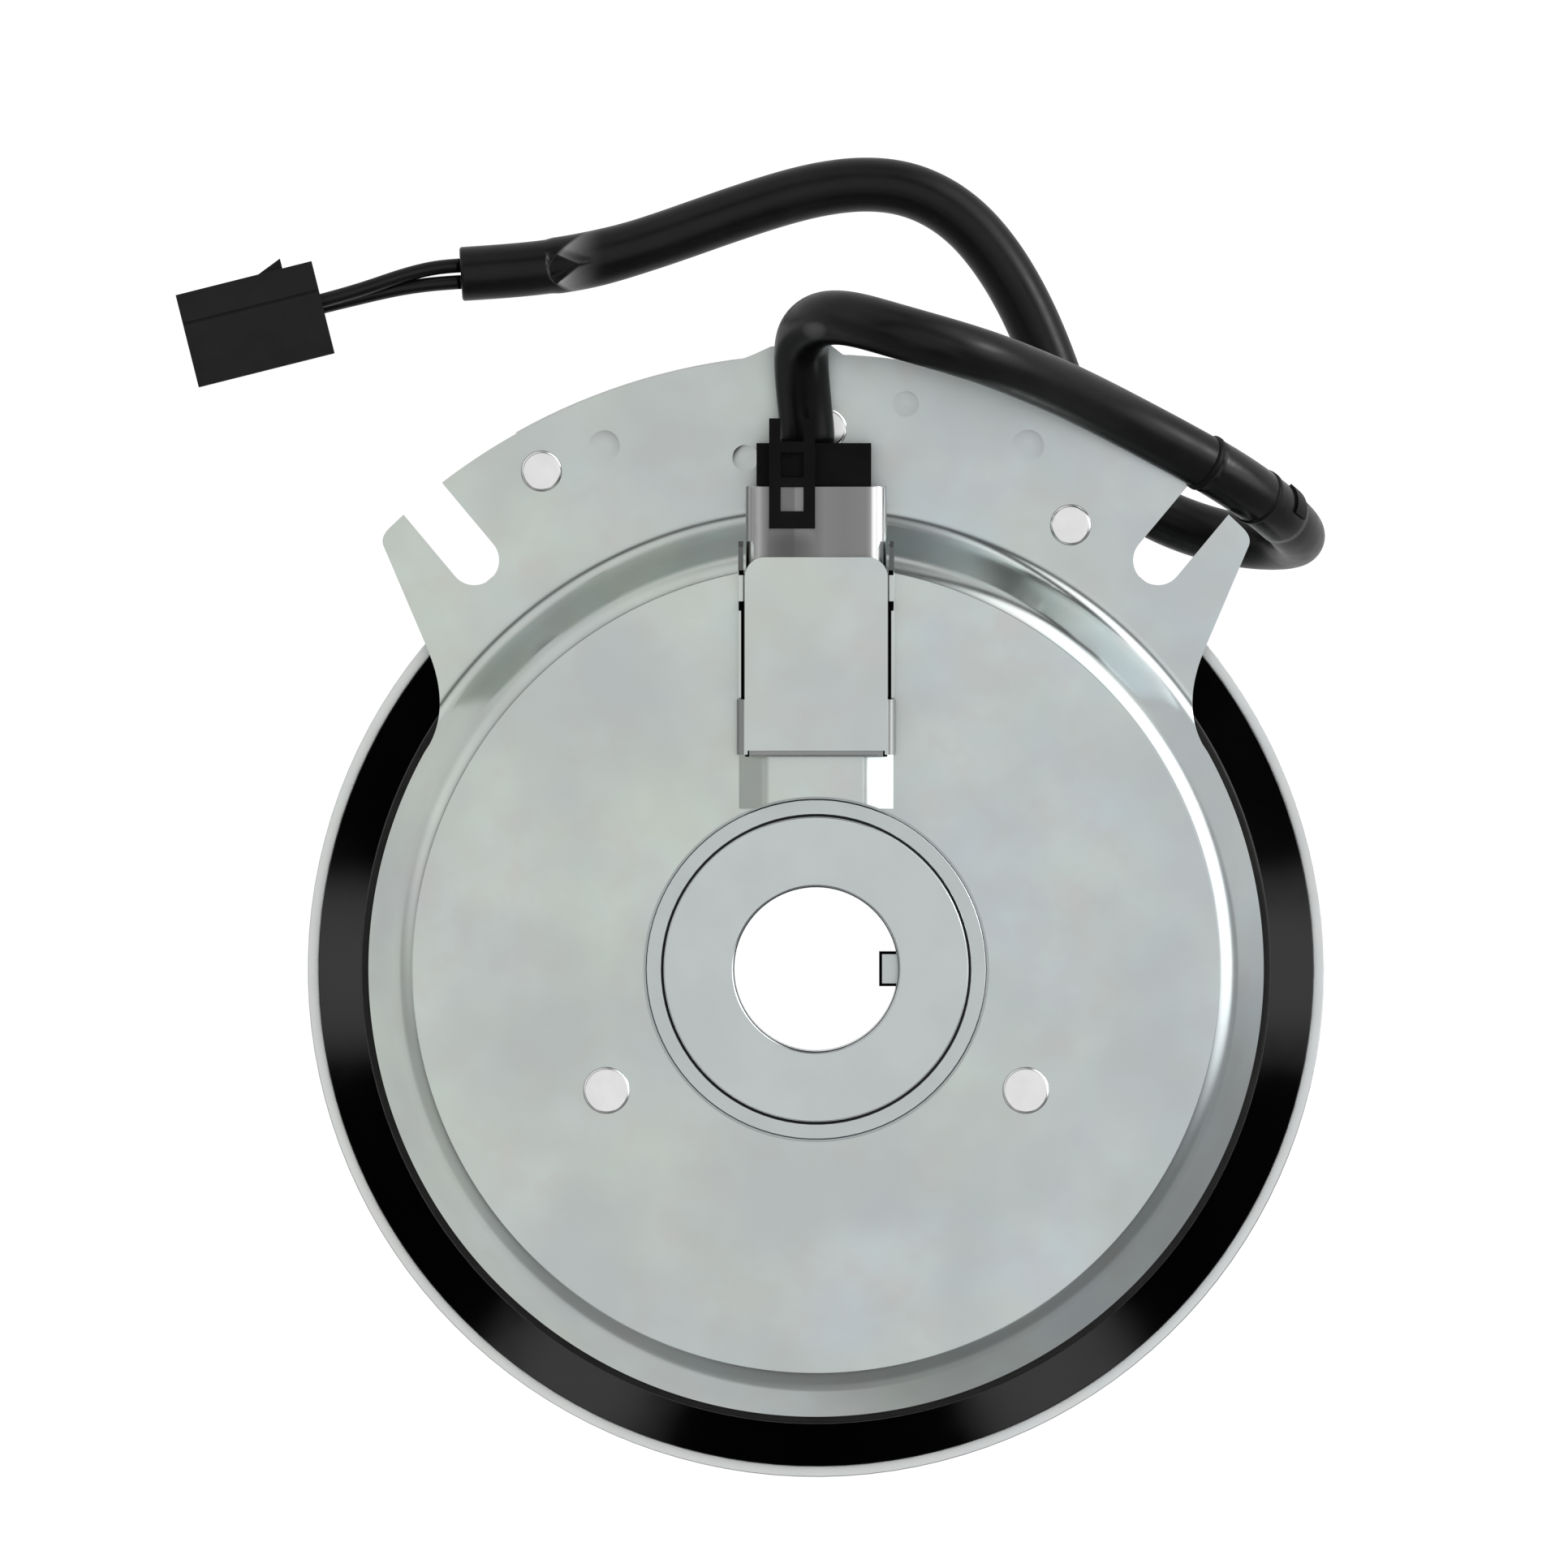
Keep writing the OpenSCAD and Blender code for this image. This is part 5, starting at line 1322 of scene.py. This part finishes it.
rivets("shell_rivets", around(3, 42.2, 90), [
    (0, Z_BOWL - 15), (SHANK, Z_BOWL - 15), (SHANK, Z_BOWL),
] + head(8.2, 0.8, Z_BOWL))
rivets("brake_posts", POST_PLACES, [
    (0, Z_BRAKE), (THIN_SHANK, Z_BRAKE), (THIN_SHANK, Z_LINING), (2, Z_LINING),
    (2, Z_BRACKET - SHELL_T), (THIN_SHANK, Z_BRACKET - SHELL_T), (THIN_SHANK, Z_BRACKET),
] + head(7.2, 1, Z_BRACKET))
rivets("pulley_rivets", around(6, 44), head(8.8, 1.7, Z_HUB_LOW, False)[::-1] + [
    (SHANK, Z_HUB_LOW), (SHANK, Z_HUB_TOP),
] + head(8.8, 1.7, Z_HUB_TOP))
rivets("spring_posts", around(3, SPRING_R, 30), head(7, 1.2, Z_HUB_LOW, False)[::-1] + [
    (2, Z_HUB_LOW), (2, 13.5), (3, 13.5), (3, Z_SPRING_LOW), (THIN_SHANK, Z_SPRING_LOW),
    (THIN_SHANK, Z_SPRING_TOP),
] + head(5.6, 1, Z_SPRING_TOP))
rivets("armature_rivets", around(3, SPRING_R, 82), head(6.4, 1.2, Z_SPRING_LOW, False)[::-1] + [
    (1.6, Z_SPRING_LOW), (1.6, Z_ARMATURE + 4.95), (0, Z_ARMATURE + 4.95),
])

# %% [markdown]
# ## Softened edges
# No real edge is perfectly sharp, and a thin bright or dark line along each edge is what makes
# sheet metal and moulded plastic look real. A solid's mesh is loose flat triangles, so a copy is
# merged, its flat faces are joined, its corners get a small rounded bevel, and the flats decide
# the shading. The copy then stands for the solid.

# %% Copy a solid and soften it
BEVEL_STEPS = 3


def softened(node, material, width=0.25, crease=CREASE, cuts=(), reshape=None, others=()):
    """A copy of a solid with joined faces, rounded edges and even shading."""
    piece = bpy.data.objects.new(node + "_finished", nodes[node].data.copy())
    scene.collection.objects.link(piece)
    piece.data.materials.clear()
    for finish in (material, *others):
        piece.data.materials.append(finish)
    for cut in cuts:
        settle(piece)
        combine(piece, slab("cut", *cut, material), "DIFFERENCE")
    work = bmesh.new()
    work.from_mesh(piece.data)
    bmesh.ops.remove_doubles(work, verts=work.verts, dist=0.002 * MM)
    parts = {"verts": work.verts[:], "edges": work.edges[:]}
    bmesh.ops.dissolve_limit(work, angle_limit=radians(0.2), **parts)
    for face in work.faces:
        face.material_index = 0
    if reshape:
        reshape(work)
    work.to_mesh(piece.data)
    work.free()
    bevel = piece.modifiers.new("edges", "BEVEL")
    bevel.width = width * MM
    bevel.segments = BEVEL_STEPS
    bevel.limit_method = "ANGLE"
    bevel.angle_limit = radians(crease)
    settle(piece, crease + 5)
    even_shade(piece)
    stand_for(piece, node)
    return piece


print("bevels have", BEVEL_STEPS, "steps")

# %% [markdown]
# ## Three solids with a rule of their own
# The hub's flange meets the dust ring squarely, so its chamfer is closed up. The terminal cover's
# bent lip is painted lighter than its top, as a painted highlight, and its side tabs are painted
# darker, as painted shade. The ends of the walls beside the cover slope away and are painted dark,
# also painted shade. Faces are found by their place and by the way they face, and get a second or
# third finish.

# %% What is special on three solids
def square_flange(work):
    """Takes the chamfer off the hub's flange, so that it meets the dust ring squarely."""
    top = max(v.co.z for v in work.verts)
    for v in work.verts:
        if v.co.xy.length > 26.2 * MM and v.co.z > top - 0.8 * MM:
            v.co.z = top


def paint_cover_lip_and_tabs(work):
    """Gives the cover's bent lip a painted highlight and its side tabs painted shade, as extra
    finishes.
    """
    for face in work.faces:
        place = face.calc_center_median() / MM
        if face.normal.y < -0.3 and place.z > 69:
            face.material_index = 1
        elif abs(face.normal.x) > 0.2 and place.y < 47:
            face.material_index = 2


def paint_wall_ends_shade(work):
    """Gives the walls' sloping ends a darker finish: painted shade."""
    for face in work.faces:
        if face.normal.z > 0.7 and face.calc_center_median().y > 69.6 * MM:
            face.material_index = 1


print("solids with their own rule", 3)

# %% [markdown]
# ## The solids that show
# This list gives each visible solid its finish and the width of its rounded edges. Sheet metal is
# rounded least and castings most. The walls beside the terminal cover get a narrow gap along the
# cover and two notches each, because the solid has plain walls there.

# %% Soften the visible solids
WALL_TOP = 70


def box_outline(x0, x1, y0, y1):
    return [(x0, y0), (x1, y0), (x1, y1), (x0, y1)]


def beside(side, near, far, y0, y1):
    """Outline of a box at the left (-1) or the right (1) of the terminal cover."""
    return box_outline(*sorted((side * near, side * far)), y0, y1)


WALL_CUTS = [(beside(side, 12.6, 13.05, 46, 63), 63.1, WALL_TOP) for side in (-1, 1)]
for side in (-1, 1):
    for y0, y1 in ((62.5, 64.1), (68.7, 69.5)):
        WALL_CUTS.append((beside(side, 12.6, 14, y0, y1), 64.5, WALL_TOP))
SOFTENED = [
    # solid, finish, width of the rounded edge
    ("terminal_block", bobbin_plastic, 0.3), ("terminal_shroud", shroud_zinc, 0.2),
    ("field_connector", connector_plastic, 0.3), ("brake_plate", pulley_zinc, 0.3),
    ("brake_lining", lining_mix, 0.3), ("coil_shell", neck_steel, 0.15),
    ("pulley_upper_half", pulley_zinc, 0.5), ("pulley_lower_half", pulley_zinc, 0.5),
    ("pulley_hub", plain_steel, 0.4), ("bearing_spacer", plain_steel, 0.3),
    ("field_bearing_outer", race_steel, 0.3), ("field_bearing_inner", race_steel, 0.3),
    ("pulley_bearing_outer", race_steel, 0.3), ("pulley_bearing_inner", race_steel, 0.3),
    ("rotor_friction_ring", lining_mix, 0.2),
]
for name, material, width in SOFTENED:
    piece = softened(name, material, width)
    print(name, "faces", len(piece.data.polygons))
plug = softened("plug_housing", plug_plastic, 0.5)
softened("hub_sleeve", hub_steel, 0.12, reshape=square_flange)
# The cover's lip carries a painted highlight and its side tabs carry painted shade.
softened("terminal_cover", cover_zinc, 0.22, reshape=paint_cover_lip_and_tabs, others=[edge_zinc, tab_zinc])
softened("rotor", rotor_oxide, 0.4, FINE_CREASE)
softened("armature", black_gloss, 0.3, FINE_CREASE)
# The walls' sloping ends carry painted shade.
base = softened("terminal_base", cover_zinc, 0.15, CREASE, WALL_CUTS, paint_wall_ends_shade, [end_zinc])
print("terminal_base faces", len(base.data.polygons))

# %% [markdown]
# ## What the cords are
# Each cord's line is turned into points a few millimetres apart, but the points are not used.
# The sleeve leaves the connector and ends open, and the wires leave the sleeve and end in the
# plug. All three are limp, and they lie loose.

sleeve_line.path(3)
for piece, line, route in (
    (wire_a, wire_a_line, WIRE_A_ROUTE), (wire_b, wire_b_line, WIRE_B_ROUTE),
):
    line.path(1.5)
print("cords", 3)

# %% [markdown]
# ## Painted shadow in the cover's gaps
# Thin black slabs stand in for the shade on both sides of the cover, as painted shadow. They show
# in the narrow gap along each wall, in the two notches of each wall, and at the cover's front corners.

# %% Fill the gaps
GAP_SHADOW_SLABS = [
    # x from the middle, y, z
    ((12.5, 13.1), (47.1, 62.6), (63.2, 66.8)),
    ((12.6, 13.5), (62.45, 64.15), (64.2, 67.9)),
    ((12.6, 13.5), (68.65, 69.55), (64.2, 67.9)),
    ((11.62, 12.4), (37.05, 38.6), (63.2, 69)),
]
# Painted shadow: black slabs put where the gaps lie in shade.
seals = [slab("seal", beside(side, *x, *y), *z, inner_black) for side in (-1, 1) for x, y, z in GAP_SHADOW_SLABS]
terminal_seal = settle(joined(seals, "terminal_seal"))
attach(terminal_seal, "field")

# %% [markdown]
# ## The key's chamfer
# A narrow chamfer runs round the end of the key in the bore. The key's sides and chamfer get a dark
# oxide finish, so that from above the chamfer shows as a dark line on three sides: painted shade.
# The end itself is bright hub steel. A thin sleeve over the solid's key gives both.

# %% Cover the key
KEY_X = (11.05, 14.5)
KEY_HALF = 3.04
KEY_CHAMFER = 0.5
KEY_HEIGHTS = (0.1, 28.05, 28.5)

wide = box_outline(*KEY_X, -KEY_HALF, KEY_HALF)
narrow = box_outline(KEY_X[0] + KEY_CHAMFER, KEY_X[1], KEY_CHAMFER - KEY_HALF, KEY_HALF - KEY_CHAMFER)
key_rings = [[(x, y, z) for x, y in ring] for ring, z in zip((wide, wide, narrow), KEY_HEIGHTS)]
# The dark oxide on the key's sides and chamfer is painted shade; the end face gets hub steel.
shaft_key = skin("shaft_key", key_rings, circlip_oxide, smooth=False)
shaft_key.data.materials.append(hub_steel)
shaft_key.data.polygons[-1].material_index = 1
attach(shaft_key, BODY_OF["hub_sleeve"])
print("key faces", len(shaft_key.data.polygons))

# %% [markdown]
# ## The dust ring
# Between the hub's flange and the neck there is a narrow gap, which shows as a thin black circle.
# A soft black ring lies in it and keeps dust out of the bearing. It is turned like the bowl.

# %% Turn the dust ring
Z_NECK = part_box("coil_shell")[1].z / MM
dust_ring = turned("dust_ring", [
    (26.6, Z_NECK - 1.6), (27.4, Z_NECK - 1.6), (27.35, Z_NECK - 0.5), (27.1, Z_NECK - 0.3),
    (26.8, Z_NECK - 0.4), (26.6, Z_NECK - 0.7),
], seal_rubber)
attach(dust_ring, "field")
print("dust ring faces", len(dust_ring.data.polygons))

# %% [markdown]
# ## Finishes on the solids
# The solids that keep their own shape get their finish here. Each solid is a piece of the real
# clutch, so the list reads like its parts list.

# %% Give each solid its finish
FINISHES = {
    "coil_bobbin": bobbin_plastic, "coil_winding": copper, "coil_potting": potting_resin,
    "terminal_pins": brass, "field_bearing_balls": ball_steel, "field_bearing_cage": brass,
    "field_bearing_seals": seal_rubber, "hub_snap_ring": circlip_oxide,
    "pulley_bearing_balls": ball_steel, "pulley_bearing_cage": brass,
    "pulley_bearing_seals": seal_rubber, "pulley_snap_ring": circlip_oxide,
    "armature_springs": spring_steel, "plug_terminals": brass,
}


def dress(piece, material):
    """Puts one material in every slot of a piece."""
    if not piece.material_slots:
        piece.data.materials.append(material)
    for place in piece.material_slots:
        place.material = material


for name, material in FINISHES.items():
    dress(nodes[name], material)
bare = [name for name in sorted(set(nodes) - set(FINISHES)) if not nodes[name].hide_render]
print("solids dressed", len(FINISHES), "left bare", bare)

# %% Compare the boxes and finish
low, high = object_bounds()
grown = [((b - a) - (d - c)) / MM for a, b, c, d in zip(low, high, cad_low, cad_high)]
print("grown by mm", [round(value, 2) for value in grown])
